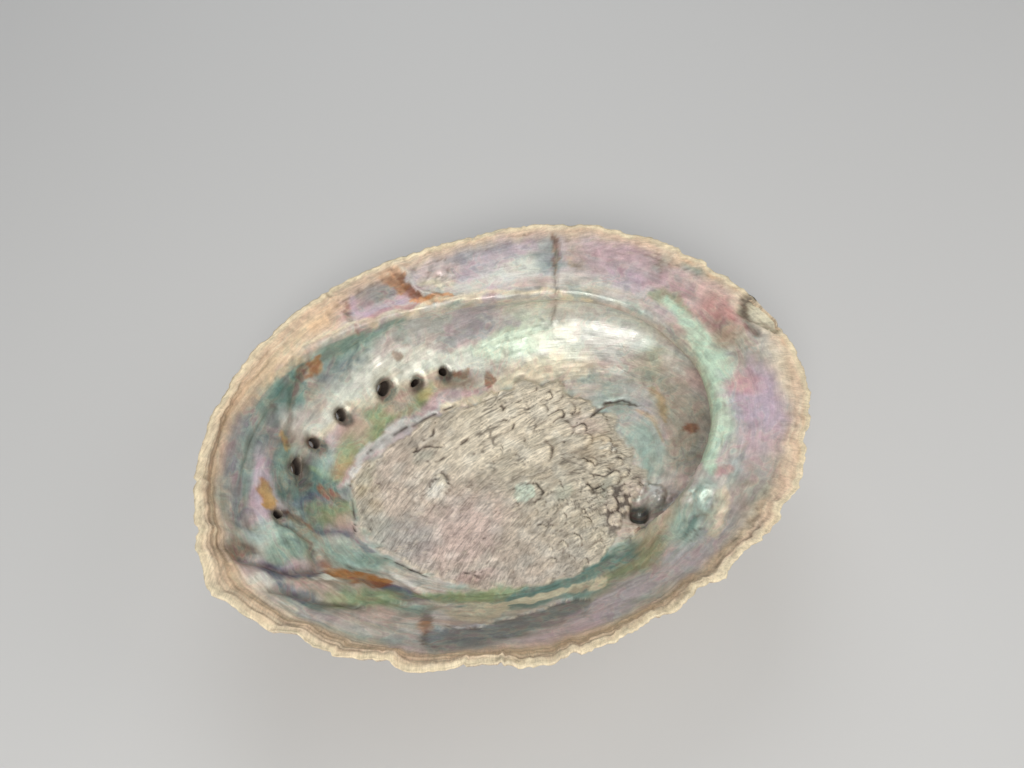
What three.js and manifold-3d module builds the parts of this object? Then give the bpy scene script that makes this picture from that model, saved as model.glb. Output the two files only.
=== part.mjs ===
// Abalone shell, lying on its back with its mouth up. Millimetres, +Z up.
//
// +X is the old end with the spire, -X the growing front end, +Y the side of the flat shelf.
// The shell is one closed solid. Half planes turned about an upright line through MIDDLE cut
// it in sections: each section runs from the lip over the shelf, down the bowl to the middle,
// and back under the dome to the lip. The ring tables below say where a section's points lie.

import * as THREE from 'three';
import { mergeVertices } from 'three/addons/utils/BufferGeometryUtils.js';
import Module from 'manifold-3d';

// ---------------------------------------------------------------- driving dimensions

const MIDDLE = { x: 5.5, y: -5.5 };   // where the half planes meet, on the floor of the bowl
const LIP_HEIGHT = 50;                // mean height of the lip over the resting face
const LIP_SADDLE = 2;                 // the two ends rise and the two sides fall by this
const LIP_WIDTH = 2.8;                // how wide the blunt edge of the lip is
const LIP_SLOPE = 0.35;               // how fast that edge falls inwards
const COLLAR_INSET = 0.7;             // the outside just under the lip: how far in from it
const COLLAR_DROP = 3.5;              // and how far below it
const FLOOR_HEIGHT = 8.5;             // inner face at MIDDLE, so also the thickness there
const REST_RADIUS = 17;               // worn flat that the shell lies on
const REST_SHIFT = { x: 4, y: 7 };    // from MIDDLE to the middle of that flat
const SHELF_SAG = 0.045;              // how far the shelf sags, as a share of its breadth
const ROOF_LIFT = 0.22;               // how much higher than a straight line the hollow's roof is

// Outline of the lip, along its crest: [degrees from +X towards +Y, distance from MIDDLE].
const LIP_OUTLINE = [
  [0, 93], [30, 90], [60, 86], [90, 82], [120, 87], [150, 97], [180, 104], [195, 102], [210, 92],
  [240, 77], [270, 72], [285, 72], [300, 75], [330, 86],
];

// Rings on the inner face: [degrees from +X, distance from MIDDLE, height].
// EDGE is the inner edge of the shelf. On the near side, where there is no shelf, it and the
// rings below it are only steps down the plain wall.
const EDGE = [
  [0, 65, 42], [10, 66, 42], [25, 64, 42], [45, 61, 42.5], [65, 57, 43], [80, 55, 43.5],
  [100, 59, 44], [120, 67, 45], [135, 78, 45.5], [150, 92, 46.5], [165, 98, 46.5], [180, 98, 45.5],
  [210, 84, 43.5], [240, 70, 42], [270, 65, 40], [290, 63, 36.5], [303, 56, 29.5], [310, 48, 23],
  [316, 52, 34], [322, 55, 39], [332, 58, 41.5], [345, 62, 42],
];
const NOSE = [
  [0, 64, 38.5], [20, 64, 38.5], [40, 61, 39], [65, 56, 39.5], [80, 54.5, 40], [100, 58, 40.5],
  [120, 66, 41], [135, 76, 42], [150, 88, 43.5], [165, 94, 42.5], [180, 94, 41.5], [210, 78, 38.5],
  [240, 64, 35.5], [270, 60, 34], [290, 58, 30.5], [303, 52, 25], [310, 46.5, 20], [316, 51, 31],
  [332, 57, 37.5],
];
const UNDER = [
  [0, 75, 33.5], [20, 72, 33.5], [40, 66, 34], [60, 60, 34.5], [80, 56, 35], [100, 58, 36],
  [120, 65, 36.5], [135, 75, 37.5], [150, 84, 39], [165, 90, 39], [180, 90, 38.5], [210, 72, 33],
  [240, 59, 29.5], [270, 55, 28], [290, 53, 25], [303, 49, 20], [310, 46, 17], [318, 58, 23],
  [327, 66, 29], [340, 71, 32],
];
const WALL = [
  [0, 73, 23.5], [20, 71, 24.5], [40, 65, 25.5], [60, 58, 26.5], [80, 54, 27.5], [100, 56, 28.5],
  [120, 61, 29.5], [135, 69, 31.5], [150, 78, 33.5], [165, 83, 35], [180, 83, 35], [210, 65, 26],
  [240, 54, 23.5], [270, 51, 22.5], [290, 49, 20], [303, 46, 16], [311, 45, 13.5], [318, 56, 15.5],
  [327, 65, 20.5], [340, 70, 22.5],
];
const FOOT = [
  [0, 57, 16], [25, 54, 17], [55, 49, 19], [80, 48, 20.5], [100, 50, 22], [115, 52, 23],
  [130, 60, 24], [145, 67, 26.5], [160, 73, 28], [180, 73, 26.5], [210, 57, 19.5], [240, 49, 17.5],
  [270, 45, 17], [290, 44, 16], [303, 43, 13], [311, 44, 12], [318, 48, 12.5], [332, 54, 15],
];
// Edge of the muscle scar.
const SCAR = [
  [10, 37, 13], [30, 37, 13.5], [50, 36, 14], [75, 35, 14.5], [105, 34, 14.5], [135, 42, 15],
  [155, 53, 16], [163, 59, 17], [172, 61, 17], [188, 60, 17], [197, 55, 16], [210, 50, 15],
  [230, 46, 14], [255, 41, 13.5], [280, 41, 13], [315, 38, 12.5], [332, 41, 13], [348, 39, 13],
];

// Rings on the outer face, from the shoulder down to the dome.
const SHOULDER = [
  [0, 85, 32.5], [30, 81, 32], [60, 73, 31], [90, 68, 31], [120, 74, 31.5], [150, 85, 33.5],
  [180, 92, 36], [210, 80, 34.5], [240, 68, 33], [270, 63, 32], [300, 66, 31.5], [330, 79, 31.5],
];
const SIDE = [
  [0, 72, 17], [30, 68, 17.5], [60, 61, 18], [90, 59, 18], [120, 61, 18.5], [150, 69, 19],
  [180, 72, 20], [210, 63, 19], [240, 53, 17], [270, 49, 15.5], [300, 53, 15], [330, 66, 16],
];
const DOME = [
  [0, 45, 6], [60, 40, 6.5], [120, 42, 7], [180, 45, 6.5], [210, 42, 6], [270, 34, 5], [330, 43, 6],
];

// Breathing holes, oldest first: [x, y, width]. Each runs outwards and down through the wall.
const PORES = [
  [-10.5, 39.5, 3.2], [-21.5, 38.5, 3], [-33, 39, 5], [-50, 31.5, 4], [-61, 23, 4],
  [-68.5, 15, 4.4], [-77, -2, 3.2],
];
const PORE_DIP = 48;          // degrees below level
const PORE_REACH = 14;        // half the length of the tool that cuts a hole
const PORE_FLARE = 0.15;      // how much wider a hole is at its inner end
const PORE_MOUND = 2.6;       // the raised rim of a hole on the outside
const PORE_MOUND_RADIUS = 5;
const PORE_OUTSIDE = 11;      // how far outwards of its inner end a hole comes out

// The spire: a low coiled knob outside, a narrow pit inside.
const SPIRE = { x: 43, y: -34, height: 4, radius: 13 };
const PIT = { x: 37.5, y: -33, depth: 5, radius: 5 };

// How finely the solid is faceted: columns round it, and steps from each ring to the next.
const COLUMNS = 90;
const INNER_STEPS = [2, 3, 3, 2, 2, 2, 3, 3, 3, 3, 2];
const OUTER_STEPS = [2, 4, 4, 4, 3];
const PORE_SIDES = 12;

// ---------------------------------------------------------------- rings and sections

const radians = THREE.MathUtils.degToRad;
const mix = THREE.MathUtils.lerp;

// A smooth closed curve through [degrees, ...values] rows, read at any angle.
function ringAt(rows, degrees) {
  const count = rows.length;
  const row = (i) => {
    const turns = Math.floor(i / count);
    const [angle, ...values] = rows[i - turns * count];
    return [angle + 360 * turns, ...values];
  };
  let angle = degrees;
  while (angle < rows[0][0]) angle += 360;
  let i = 0;
  while (row(i + 1)[0] <= angle) i += 1;
  const [before, from, to, after] = [row(i - 1), row(i), row(i + 1), row(i + 2)];
  const span = to[0] - from[0];
  const t = (angle - from[0]) / span;
  const values = [];
  for (let k = 1; k < from.length; k += 1) {
    const leave = (span * (to[k] - before[k])) / (to[0] - before[0]);
    const arrive = (span * (after[k] - from[k])) / (after[0] - from[0]);
    const rise = to[k] - from[k];
    const bend = leave + arrive - 2 * rise;
    values.push(from[k] + t * (leave + t * (3 * rise - 2 * leave - arrive + t * bend)));
  }
  const [distance, height = 0] = values;
  return new THREE.Vector3(distance, 0, height);
}

const lipAt = (degrees) => {
  const height = LIP_HEIGHT + LIP_SADDLE * Math.cos(2 * radians(degrees));
  return ringAt(LIP_OUTLINE, degrees).setZ(height);
};

const flatAt = (degrees) => {
  const angle = radians(degrees);
  const reach = REST_RADIUS + REST_SHIFT.x * Math.cos(angle) + REST_SHIFT.y * Math.sin(angle);
  return new THREE.Vector3(reach, 0, 0);
};

// The control points of one section, as (distance from MIDDLE, 0, height).
function innerControls(degrees) {
  const lip = lipAt(degrees);
  const edge = ringAt(EDGE, degrees);
  const nose = ringAt(NOSE, degrees);
  const under = ringAt(UNDER, degrees);
  const scar = ringAt(SCAR, degrees);
  const lipInside = new THREE.Vector3(lip.x - LIP_WIDTH, 0, lip.z - LIP_SLOPE * LIP_WIDTH);
  const shelf = lipInside.clone().lerp(edge, 0.55);
  shelf.z -= SHELF_SAG * (lipInside.x - edge.x);
  const roof = nose.clone().lerp(under, 0.6);
  roof.z += ROOF_LIFT * Math.max(0, under.x - nose.x);
  const floor = new THREE.Vector3(scar.x / 2, 0, mix(scar.z, FLOOR_HEIGHT, 0.72));
  return [lip, lipInside, shelf, edge, nose, roof, under,
    ringAt(WALL, degrees), ringAt(FOOT, degrees), scar, floor,
    new THREE.Vector3(0, 0, FLOOR_HEIGHT)];
}

function outerControls(degrees) {
  const lip = lipAt(degrees);
  const collar = new THREE.Vector3(lip.x - COLLAR_INSET, 0, lip.z - COLLAR_DROP);
  return [lip, collar, ringAt(SHOULDER, degrees), ringAt(SIDE, degrees),
    ringAt(DOME, degrees), flatAt(degrees)];
}

// Points along a smooth curve through the controls, with a given count of steps in each span.
function sectionPoints(controls, steps) {
  const curve = new THREE.CatmullRomCurve3(controls);
  const points = [controls[0].clone()];
  steps.forEach((count, span) => {
    for (let k = 1; k <= count; k += 1) {
      points.push(curve.getPoint((span + k / count) / (controls.length - 1)));
    }
  });
  return points;
}

// ---------------------------------------------------------------- pit, spire and mounds

const bell = (distance, radius) => Math.exp(-((distance / radius) ** 2));

function dentInner(point) {
  point.z -= PIT.depth * bell(Math.hypot(point.x - PIT.x, point.y - PIT.y), PIT.radius);
}

function raiseOuter(point) {
  const outwards = new THREE.Vector2(point.x - MIDDLE.x, point.y - MIDDLE.y).normalize();
  const spireDistance = Math.hypot(point.x - SPIRE.x, point.y - SPIRE.y);
  point.z -= SPIRE.height * bell(spireDistance, SPIRE.radius);
  for (const [x, y] of PORES) {
    const away = new THREE.Vector2(x - MIDDLE.x, y - MIDDLE.y).setLength(PORE_OUTSIDE);
    const distance = Math.hypot(point.x - x - away.x, point.y - y - away.y);
    const rise = PORE_MOUND * bell(distance, PORE_MOUND_RADIUS);
    point.x += 0.6 * rise * outwards.x;
    point.y += 0.6 * rise * outwards.y;
    point.z -= 0.8 * rise;
  }
}

// ---------------------------------------------------------------- the closed skin

function shellGeometry() {
  const rows = [];
  for (let column = 0; column < COLUMNS; column += 1) {
    const degrees = (360 * column) / COLUMNS;
    const place = ({ x: radius, z }) => new THREE.Vector3(
      MIDDLE.x + radius * Math.cos(radians(degrees)),
      MIDDLE.y + radius * Math.sin(radians(degrees)),
      z,
    );
    const inner = sectionPoints(innerControls(degrees), INNER_STEPS).map(place);
    const outer = sectionPoints(outerControls(degrees), OUTER_STEPS).map(place);
    inner.forEach(dentInner);
    outer.slice(1, -1).forEach(raiseOuter);
    // From the floor of the bowl up to the lip, then down the outside to the resting face.
    rows.push([...inner.slice(0, -1).reverse(), ...outer.slice(1)]);
  }
  const length = rows[0].length;
  const positions = rows.flat().flatMap((point) => point.toArray());
  const top = rows.flat().length;
  const bottom = top + 1;
  positions.push(MIDDLE.x, MIDDLE.y, FLOOR_HEIGHT);
  positions.push(MIDDLE.x, MIDDLE.y, 0);
  const triangles = [];
  for (let column = 0; column < COLUMNS; column += 1) {
    const here = column * length;
    const next = ((column + 1) % COLUMNS) * length;
    triangles.push(top, here, next);
    for (let k = 0; k < length - 1; k += 1) {
      triangles.push(here + k, here + k + 1, next + k);
      triangles.push(next + k, here + k + 1, next + k + 1);
    }
    triangles.push(here + length - 1, bottom, next + length - 1);
  }
  const geometry = new THREE.BufferGeometry();
  geometry.setAttribute('position', new THREE.Float32BufferAttribute(positions, 3));
  geometry.setIndex(triangles);
  return geometry;
}

// ---------------------------------------------------------------- the breathing holes

function heightInside(degrees, radius) {
  const points = sectionPoints(innerControls(degrees), INNER_STEPS).reverse();
  const k = points.findIndex((point) => point.x > radius);
  const [low, high] = [points[k - 1], points[k]];
  return mix(low.z, high.z, (radius - low.x) / (high.x - low.x));
}

function poreGeometry([x, y, width]) {
  const across = new THREE.Vector2(x - MIDDLE.x, y - MIDDLE.y);
  const degrees = THREE.MathUtils.radToDeg(across.angle());
  const level = across.clone().setLength(Math.cos(radians(PORE_DIP)));
  const outwards = new THREE.Vector3(level.x, level.y, -Math.sin(radians(PORE_DIP)));
  const innerEnd = (width / 2) * (1 + PORE_FLARE);
  const tool = new THREE.CylinderGeometry(width / 2, innerEnd, 2 * PORE_REACH, PORE_SIDES);
  const turn = new THREE.Quaternion().setFromUnitVectors(new THREE.Vector3(0, 1, 0), outwards);
  tool.applyQuaternion(turn);
  const start = new THREE.Vector3(x, y, heightInside(degrees, across.length()));
  const centre = start.addScaledVector(outwards, 0.7 * PORE_REACH);
  tool.translate(centre.x, centre.y, centre.z);
  return tool;
}

// ---------------------------------------------------------------- cutting and handing over

const wasm = await Module();
wasm.setup();

function toSolid(geometry) {
  const bare = geometry.clone();
  bare.deleteAttribute('normal');
  bare.deleteAttribute('uv');
  const merged = mergeVertices(bare);
  return new wasm.Manifold(new wasm.Mesh({
    numProp: 3,
    vertProperties: new Float32Array(merged.attributes.position.array),
    triVerts: new Uint32Array(merged.index.array),
  }));
}

function toGeometry(solid) {
  const mesh = solid.getMesh();
  const geometry = new THREE.BufferGeometry();
  geometry.setAttribute('position', new THREE.BufferAttribute(mesh.vertProperties, 3));
  geometry.setIndex(new THREE.BufferAttribute(mesh.triVerts, 1));
  geometry.computeVertexNormals();
  return geometry;
}

let solid = toSolid(shellGeometry());
for (const pore of PORES) {
  solid = solid.subtract(toSolid(poreGeometry(pore)));
}

const nacre = new THREE.MeshStandardMaterial({ color: 0xc9c2b8, roughness: 0.38, metalness: 0 });
const shell = new THREE.Mesh(toGeometry(solid), nacre);
shell.name = 'abalone_shell';

const model = new THREE.Group();
model.add(shell);

export default model;
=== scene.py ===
"""Abalone shell, lying on its back with its mouth up, on a plain studio floor.

The skin is worked out in millimetres in the row's frame: +X is the old end with the spire,
-X the growing front end, +Y the side of the flat shelf. Half planes turned about an upright
line through MIDDLE cut the shell in sections, and ring tables say where each section's
points lie, as in the CAD model. Relief is then pushed along the skin's normals, the
breathing holes are cut, and colours are kept as attributes that the material reads.
"""
from functools import partial
import math

import bpy
import numpy as np
from mathutils import Matrix, Vector
from mathutils.kdtree import KDTree


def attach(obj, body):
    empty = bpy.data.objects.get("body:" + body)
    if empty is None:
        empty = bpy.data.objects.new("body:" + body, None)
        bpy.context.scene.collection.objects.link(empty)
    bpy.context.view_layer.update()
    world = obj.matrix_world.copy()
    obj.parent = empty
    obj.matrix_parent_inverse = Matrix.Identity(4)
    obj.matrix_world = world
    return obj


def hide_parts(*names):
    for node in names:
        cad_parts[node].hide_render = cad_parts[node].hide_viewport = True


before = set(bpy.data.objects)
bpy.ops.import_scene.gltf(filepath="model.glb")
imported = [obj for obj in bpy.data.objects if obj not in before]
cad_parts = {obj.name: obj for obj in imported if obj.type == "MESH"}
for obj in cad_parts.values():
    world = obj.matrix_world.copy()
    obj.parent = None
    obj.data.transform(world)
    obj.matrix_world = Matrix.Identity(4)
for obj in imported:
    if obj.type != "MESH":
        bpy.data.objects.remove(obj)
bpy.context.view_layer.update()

MM = 0.001
NODE = "abalone_shell"

# ---------- the skin's dimensions, mm

MIDDLE = np.array([5.5, -5.5])
LIP_HEIGHT = 50.0
LIP_SADDLE = 2.0
LIP_WIDTH = 2.8
LIP_SLOPE = 0.35
COLLAR_INSET = 0.7
COLLAR_DROP = 3.5
FLOOR_HEIGHT = 8.5
REST_RADIUS = 17.0
REST_SHIFT = np.array([4.0, 7.0])
SHELF_SAG = 0.045
ROOF_LIFT = 0.22

# Outline of the lip, along its crest: (degrees from +X, distance from MIDDLE).
LIP_OUTLINE = [
    (0, 93), (30, 90), (60, 86), (90, 82), (120, 87), (150, 97), (180, 104), (195, 102), (210, 92),
    (240, 77), (270, 72), (285, 72), (300, 75), (330, 86),
]

# Rings on the inner face: (degrees from +X, distance from MIDDLE, height).
EDGE = [
    (0, 65, 42), (10, 66, 42), (25, 64, 42), (45, 61, 42.5), (65, 57, 43), (80, 55, 43.5),
    (100, 59, 44), (120, 67, 45), (135, 78, 45.5), (150, 92, 46.5), (165, 98, 46.5),
    (180, 98, 45.5), (210, 84, 43.5), (240, 70, 42), (270, 65, 40), (290, 63, 36.5),
    (303, 56, 29.5), (310, 48, 23), (316, 52, 34), (322, 55, 39), (332, 58, 41.5), (345, 62, 42),
]
NOSE = [
    (0, 64, 38.5), (20, 64, 38.5), (40, 61, 39), (65, 56, 39.5), (80, 54.5, 40), (100, 58, 40.5),
    (120, 66, 41), (135, 76, 42), (150, 88, 43.5), (165, 94, 42.5), (180, 94, 41.5),
    (210, 78, 38.5), (240, 64, 35.5), (270, 60, 34), (290, 58, 30.5), (303, 52, 25),
    (310, 46.5, 20), (316, 51, 31), (332, 57, 37.5),
]
UNDER = [
    (0, 75, 33.5), (20, 72, 33.5), (40, 66, 34), (60, 60, 34.5), (80, 56, 35), (100, 58, 36),
    (120, 65, 36.5), (135, 75, 37.5), (150, 84, 39), (165, 90, 39), (180, 90, 38.5), (210, 72, 33),
    (240, 59, 29.5), (270, 55, 28), (290, 53, 25), (303, 49, 20), (310, 46, 17), (318, 58, 23),
    (327, 66, 29), (340, 71, 32),
]
WALL = [
    (0, 73, 23.5), (20, 71, 24.5), (40, 65, 25.5), (60, 58, 26.5), (80, 54, 27.5), (100, 56, 28.5),
    (120, 61, 29.5), (135, 69, 31.5), (150, 78, 33.5), (165, 83, 35), (180, 83, 35), (210, 65, 26),
    (240, 54, 23.5), (270, 51, 22.5), (290, 49, 20), (303, 46, 16), (311, 45, 13.5),
    (318, 56, 15.5), (327, 65, 20.5), (340, 70, 22.5),
]
FOOT = [
    (0, 57, 16), (25, 54, 17), (55, 49, 19), (80, 48, 20.5), (100, 50, 22), (115, 52, 23),
    (130, 60, 24), (145, 67, 26.5), (160, 73, 28), (180, 73, 26.5), (210, 57, 19.5),
    (240, 49, 17.5), (270, 45, 17), (290, 44, 16), (303, 43, 13), (311, 44, 12), (318, 48, 12.5),
    (332, 54, 15),
]
SCAR = [
    (10, 37, 13), (30, 37, 13.5), (50, 36, 14), (75, 35, 14.5), (105, 34, 14.5), (135, 42, 15),
    (155, 53, 16), (163, 59, 17), (172, 61, 17), (188, 60, 17), (197, 55, 16), (210, 50, 15),
    (230, 46, 14), (255, 41, 13.5), (280, 41, 13), (315, 38, 12.5), (332, 41, 13), (348, 39, 13),
]

# Rings on the outer face, from the shoulder down to the dome.
SHOULDER = [
    (0, 85, 32.5), (30, 81, 32), (60, 73, 31), (90, 68, 31), (120, 74, 31.5), (150, 85, 33.5),
    (180, 92, 36), (210, 80, 34.5), (240, 68, 33), (270, 63, 32), (300, 66, 31.5), (330, 79, 31.5),
]
SIDE = [
    (0, 72, 17), (30, 68, 17.5), (60, 61, 18), (90, 59, 18), (120, 61, 18.5), (150, 69, 19),
    (180, 72, 20), (210, 63, 19), (240, 53, 17), (270, 49, 15.5), (300, 53, 15), (330, 66, 16),
]
DOME = [
    (0, 45, 6), (60, 40, 6.5), (120, 42, 7), (180, 45, 6.5), (210, 42, 6), (270, 34, 5),
    (330, 43, 6),
]

# Breathing holes, oldest first: (x, y, width, length over width).
PORES = [
    (-10.5, 39.5, 3.0, 1.0), (-21.5, 38.5, 2.4, 1.4), (-33, 39, 4.4, 1.25),
    (-50, 31.5, 3.8, 1.1), (-61, 23, 3.6, 1.1), (-68.5, 15, 3.3, 2.0), (-77, -2, 3.0, 1.0),
]
PORE_DIP = math.radians(48)
PORE_FLARE = 0.15
PORE_BEND = 0.03
PORE_OUTSIDE = 11.0         # from a hole's place inside to where it comes out, in plan
PORE_SIDES = 28
PORE_AROUND = 6.0           # a vertex of the cut this near to a hole's axis belongs to it

# The flake lost from the lip: its middle, its direction, half its length and half its width.
CHIP = np.array([95.0, 5.6])
CHIP_ALONG = np.array([-0.38, 0.925])
CHIP_LONG, CHIP_WIDE = 8.2, 3.6
SPIRE = np.array([43.0, -34.0])
PIT = np.array([37.5, -33.0])
PIT_KNOB = np.array([44.0, -29.8])
PIT_KNOB_RADIUS = 4.2

# Columns round the skin, and steps from each ring to the next. A level is a place down the
# inner face counted in rings: 0 lip, 1 rim, 2 shelf, 3 edge, 4 nose, 5 roof, 6 under, 7 wall,
# 8 foot, 9 scar, 10 floor, 11 middle.
COLUMNS = 480
INNER_STEPS = [5, 15, 15, 6, 6, 6, 12, 14, 20, 38, 26]
OUTER_STEPS = [4, 12, 13, 14, 12]
HALVE_INNER = [127, 147, 156]   # rows after which the inner columns halve
HALVE_OUTER = [44]
REST_SHARES = (0.75, 0.5, 0.25, 0.0)    # rows that close the flat, as shares of its radius

# Noise that is drawn out along the lip is read on circles of these radii, and along the
# scar's grain at this radius.
RIM_ROUND = 80.0
LIP_ROUND = 88.0
SCAR_ROUND = 90.0


# ---------- curves, noise, soft masks

def cubic(start, rise, leave, arrive, t):
    """A curve from start that rises by rise, with these slopes at its ends; t runs 0 to 1."""
    bend = leave + arrive - 2 * rise
    return start + t * (leave + t * (3 * rise - 2 * leave - arrive + t * bend))


def ring(rows, degrees):
    """Smooth closed curve through (degrees, values...) rows, read at an array of angles."""
    rows = np.array(rows, float)
    angle = rows[:, 0]
    knots = np.concatenate([[angle[-1] - 360], angle, angle[:2] + 360])
    values = np.vstack([rows[-1:, 1:], rows[:, 1:], rows[:2, 1:]])
    d = np.where(degrees < angle[0], degrees + 360, degrees)
    i = np.clip(np.searchsorted(knots, d, side="right") - 1, 1, len(rows))
    span = (knots[i + 1] - knots[i])[:, None]
    t = ((d - knots[i]) / (knots[i + 1] - knots[i]))[:, None]
    leave = span * (values[i + 1] - values[i - 1]) / (knots[i + 1] - knots[i - 1])[:, None]
    arrive = span * (values[i + 2] - values[i]) / (knots[i + 2] - knots[i])[:, None]
    return cubic(values[i], values[i + 1] - values[i], leave, arrive, t)


def spline(controls, steps):
    """Centripetal curves through controls (columns, controls, 2), and each row's place."""
    ends = np.stack([2 * controls[:, 0] - controls[:, 1], 2 * controls[:, -1] - controls[:, -2]])
    padded = np.concatenate([ends[0][:, None], controls, ends[1][:, None]], axis=1)
    gaps = np.sqrt(np.linalg.norm(np.diff(padded, axis=1), axis=2))[..., None]
    points, places = [controls[:, 0]], [0.0]
    for span, count in enumerate(steps):
        p0, p1, p2, p3 = (padded[:, span + k] for k in range(4))
        g0, g1, g2 = (gaps[:, span + k] for k in range(3))
        leave = ((p1 - p0) / g0 - (p2 - p0) / (g0 + g1) + (p2 - p1) / g1) * g1
        arrive = ((p2 - p1) / g1 - (p3 - p1) / (g1 + g2) + (p3 - p2) / g2) * g1
        for k in range(1, count + 1):
            points.append(cubic(p1, p2 - p1, leave, arrive, k / count))
            places.append(span + k / count)
    return np.stack(points, axis=1), np.array(places)


def smooth(low, high, value):
    """Eases from 0 at low to 1 at high; low may be the larger one."""
    t = np.clip((value - low) / (high - low), 0, 1)
    return t * t * (3 - 2 * t)


def bell(distance, radius):
    """A rounded hump, 1 at no distance and 0.37 at the radius."""
    return np.exp(-(distance / radius) ** 2)


def lattice(cell, salt):
    """A steady random number in -1..1 for each whole-numbered lattice cell."""
    h = (cell[..., 0] * 374761393 + cell[..., 1] * 668265263 + cell[..., 2] * 1274126177
         + salt * 974634777) & 0xFFFFFFFF
    h = ((h ^ (h >> 13)) * 1274126177) & 0xFFFFFFFF
    h = ((h ^ (h >> 15)) * 2246822519) & 0xFFFFFFFF
    return ((h ^ (h >> 16)) & 0xFFFF) / 32767.5 - 1


def noise(points, size, seed):
    """Gradient noise in about -1..1 whose lumps are `size` wide."""
    q = points / size
    cell = np.floor(q).astype(np.int64)
    f = q - cell
    w = f * f * f * (f * (f * 6 - 15) + 10)
    total = 0
    for dx in (0, 1):
        for dy in (0, 1):
            for dz in (0, 1):
                corner = np.array([dx, dy, dz])
                slope = np.stack([lattice(cell + corner, seed * 3 + k) for k in range(3)], -1)
                weight = np.prod(np.where(corner, w, 1 - w), axis=-1)
                total = total + weight * np.sum(slope * (f - corner), axis=-1)
    return total * 1.5


def fractal(points, size, octaves, seed):
    return sum(noise(points, size / 2 ** k, seed + k) / 2 ** k for k in range(octaves))


def drift(points, size, seed):
    """A shift in plan by noise, so that what is drawn at the shifted points looks ragged."""
    return np.stack([noise(points, size, seed), noise(points, size, seed + 1)], axis=-1)


def length_of(vectors):
    return np.linalg.norm(vectors, axis=-1)


def to_line(xy, line):
    """Distance from plan points to a bent line, and how far along it the nearest place is."""
    line = np.array(line, float)
    best = np.full(xy.shape[:-1], 1e9)
    along = np.zeros(xy.shape[:-1])
    run = 0.0
    for a, b in zip(line[:-1], line[1:]):
        step = b - a
        length = np.hypot(*step)
        t = np.clip(((xy - a) @ step) / length ** 2, 0, 1)
        d = length_of(xy - a - t[..., None] * step)
        along = np.where(d < best, run + t * length, along)
        best = np.minimum(best, d)
        run += length
    return best, along / run


# ---------- the bare skin

def lip_at(degrees):
    height = LIP_HEIGHT + LIP_SADDLE * np.cos(2 * np.radians(degrees))
    return np.stack([ring(LIP_OUTLINE, degrees)[:, 0], height], axis=1)


def inner_controls(degrees):
    lip = lip_at(degrees)
    edge, nose, under = ring(EDGE, degrees), ring(NOSE, degrees), ring(UNDER, degrees)
    scar = ring(SCAR, degrees)
    rim = lip - [LIP_WIDTH, LIP_SLOPE * LIP_WIDTH]
    shelf = rim + 0.55 * (edge - rim)
    shelf[:, 1] -= SHELF_SAG * (rim - edge)[:, 0]
    roof = nose + 0.6 * (under - nose)
    roof[:, 1] += ROOF_LIFT * np.maximum(0, (under - nose)[:, 0])
    floor = np.stack([scar[:, 0] / 2, scar[:, 1] + 0.72 * (FLOOR_HEIGHT - scar[:, 1])], axis=1)
    middle = np.tile([0.0, FLOOR_HEIGHT], (len(degrees), 1))
    return np.stack([lip, rim, shelf, edge, nose, roof, under, ring(WALL, degrees),
                     ring(FOOT, degrees), scar, floor, middle], axis=1)


def outer_controls(degrees):
    angle = np.radians(degrees)
    reach = REST_RADIUS + REST_SHIFT[0] * np.cos(angle) + REST_SHIFT[1] * np.sin(angle)
    flat = np.stack([reach, np.zeros_like(reach)], axis=1)
    lip = lip_at(degrees)
    collar = lip - [COLLAR_INSET, COLLAR_DROP]
    return np.stack([lip, collar, ring(SHOULDER, degrees), ring(SIDE, degrees),
                     ring(DOME, degrees), flat], axis=1)


def place(profile, degrees):
    """Turn (distance, height) profiles into points round the middle."""
    angle = np.radians(degrees)[:, None]
    x = MIDDLE[0] + profile[..., 0] * np.cos(angle)
    y = MIDDLE[1] + profile[..., 0] * np.sin(angle)
    return np.stack([x, y, profile[..., 1]], axis=-1)


def normals_of(points, flip):
    """Directions out of the solid; flip is -1 for the inner face and 1 for the outer one."""
    across = np.roll(points, -1, axis=0) - np.roll(points, 1, axis=0)
    down = np.gradient(points, axis=1)
    normal = np.cross(down, across) * flip
    length = np.linalg.norm(normal, axis=-1, keepdims=True)
    return normal / np.maximum(length, 1e-9)


class Skin:
    """One face of the shell as a grid of points, columns round it by rows down it."""

    def __init__(self, controls, steps, flip):
        self.degrees = np.arange(COLUMNS) * 360 / COLUMNS
        profile, self.place = spline(controls(self.degrees), steps)
        self.points = place(profile, self.degrees)
        self.normals = normals_of(self.points, flip)
        run = np.linalg.norm(np.diff(profile, axis=1), axis=2)
        self.depth = np.concatenate([np.zeros((COLUMNS, 1)), np.cumsum(run, axis=1)], axis=1)
        self.turn = np.repeat(self.degrees[:, None], len(self.place), axis=1)
        self.level = np.repeat(self.place[None], COLUMNS, axis=0)

    def push(self, amount):
        """Raises the skin out of the solid by an amount at each point."""
        self.points = self.points + amount[..., None] * self.normals

    def round_coords(self, around, down):
        """Coordinates for noise drawn out along the lip: lump sizes round it and down it."""
        angle = np.radians(self.turn)
        return np.stack([np.cos(angle) * RIM_ROUND / around, np.sin(angle) * RIM_ROUND / around,
                         self.depth / down], axis=-1)


inside = Skin(inner_controls, INNER_STEPS, -1)
outside = Skin(outer_controls, OUTER_STEPS, 1)


# ---------- relief on the bare skin

# Where the lip is broken away or bulges: (degrees, depth inwards, half width in degrees).
LIP_BITES = [
    (16, 1.1, 3), (22, 1.6, 2), (200, 1.0, 3), (207, 1.6, 3), (220, 1.8, 4), (240, 1.4, 5),
    (280, 1.4, 3), (292, 2.0, 2.5), (305, 1.7, 2.5), (335, 1.3, 2.5), (191, -1.8, 3.5),
    (226, -0.9, 3),
]

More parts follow.
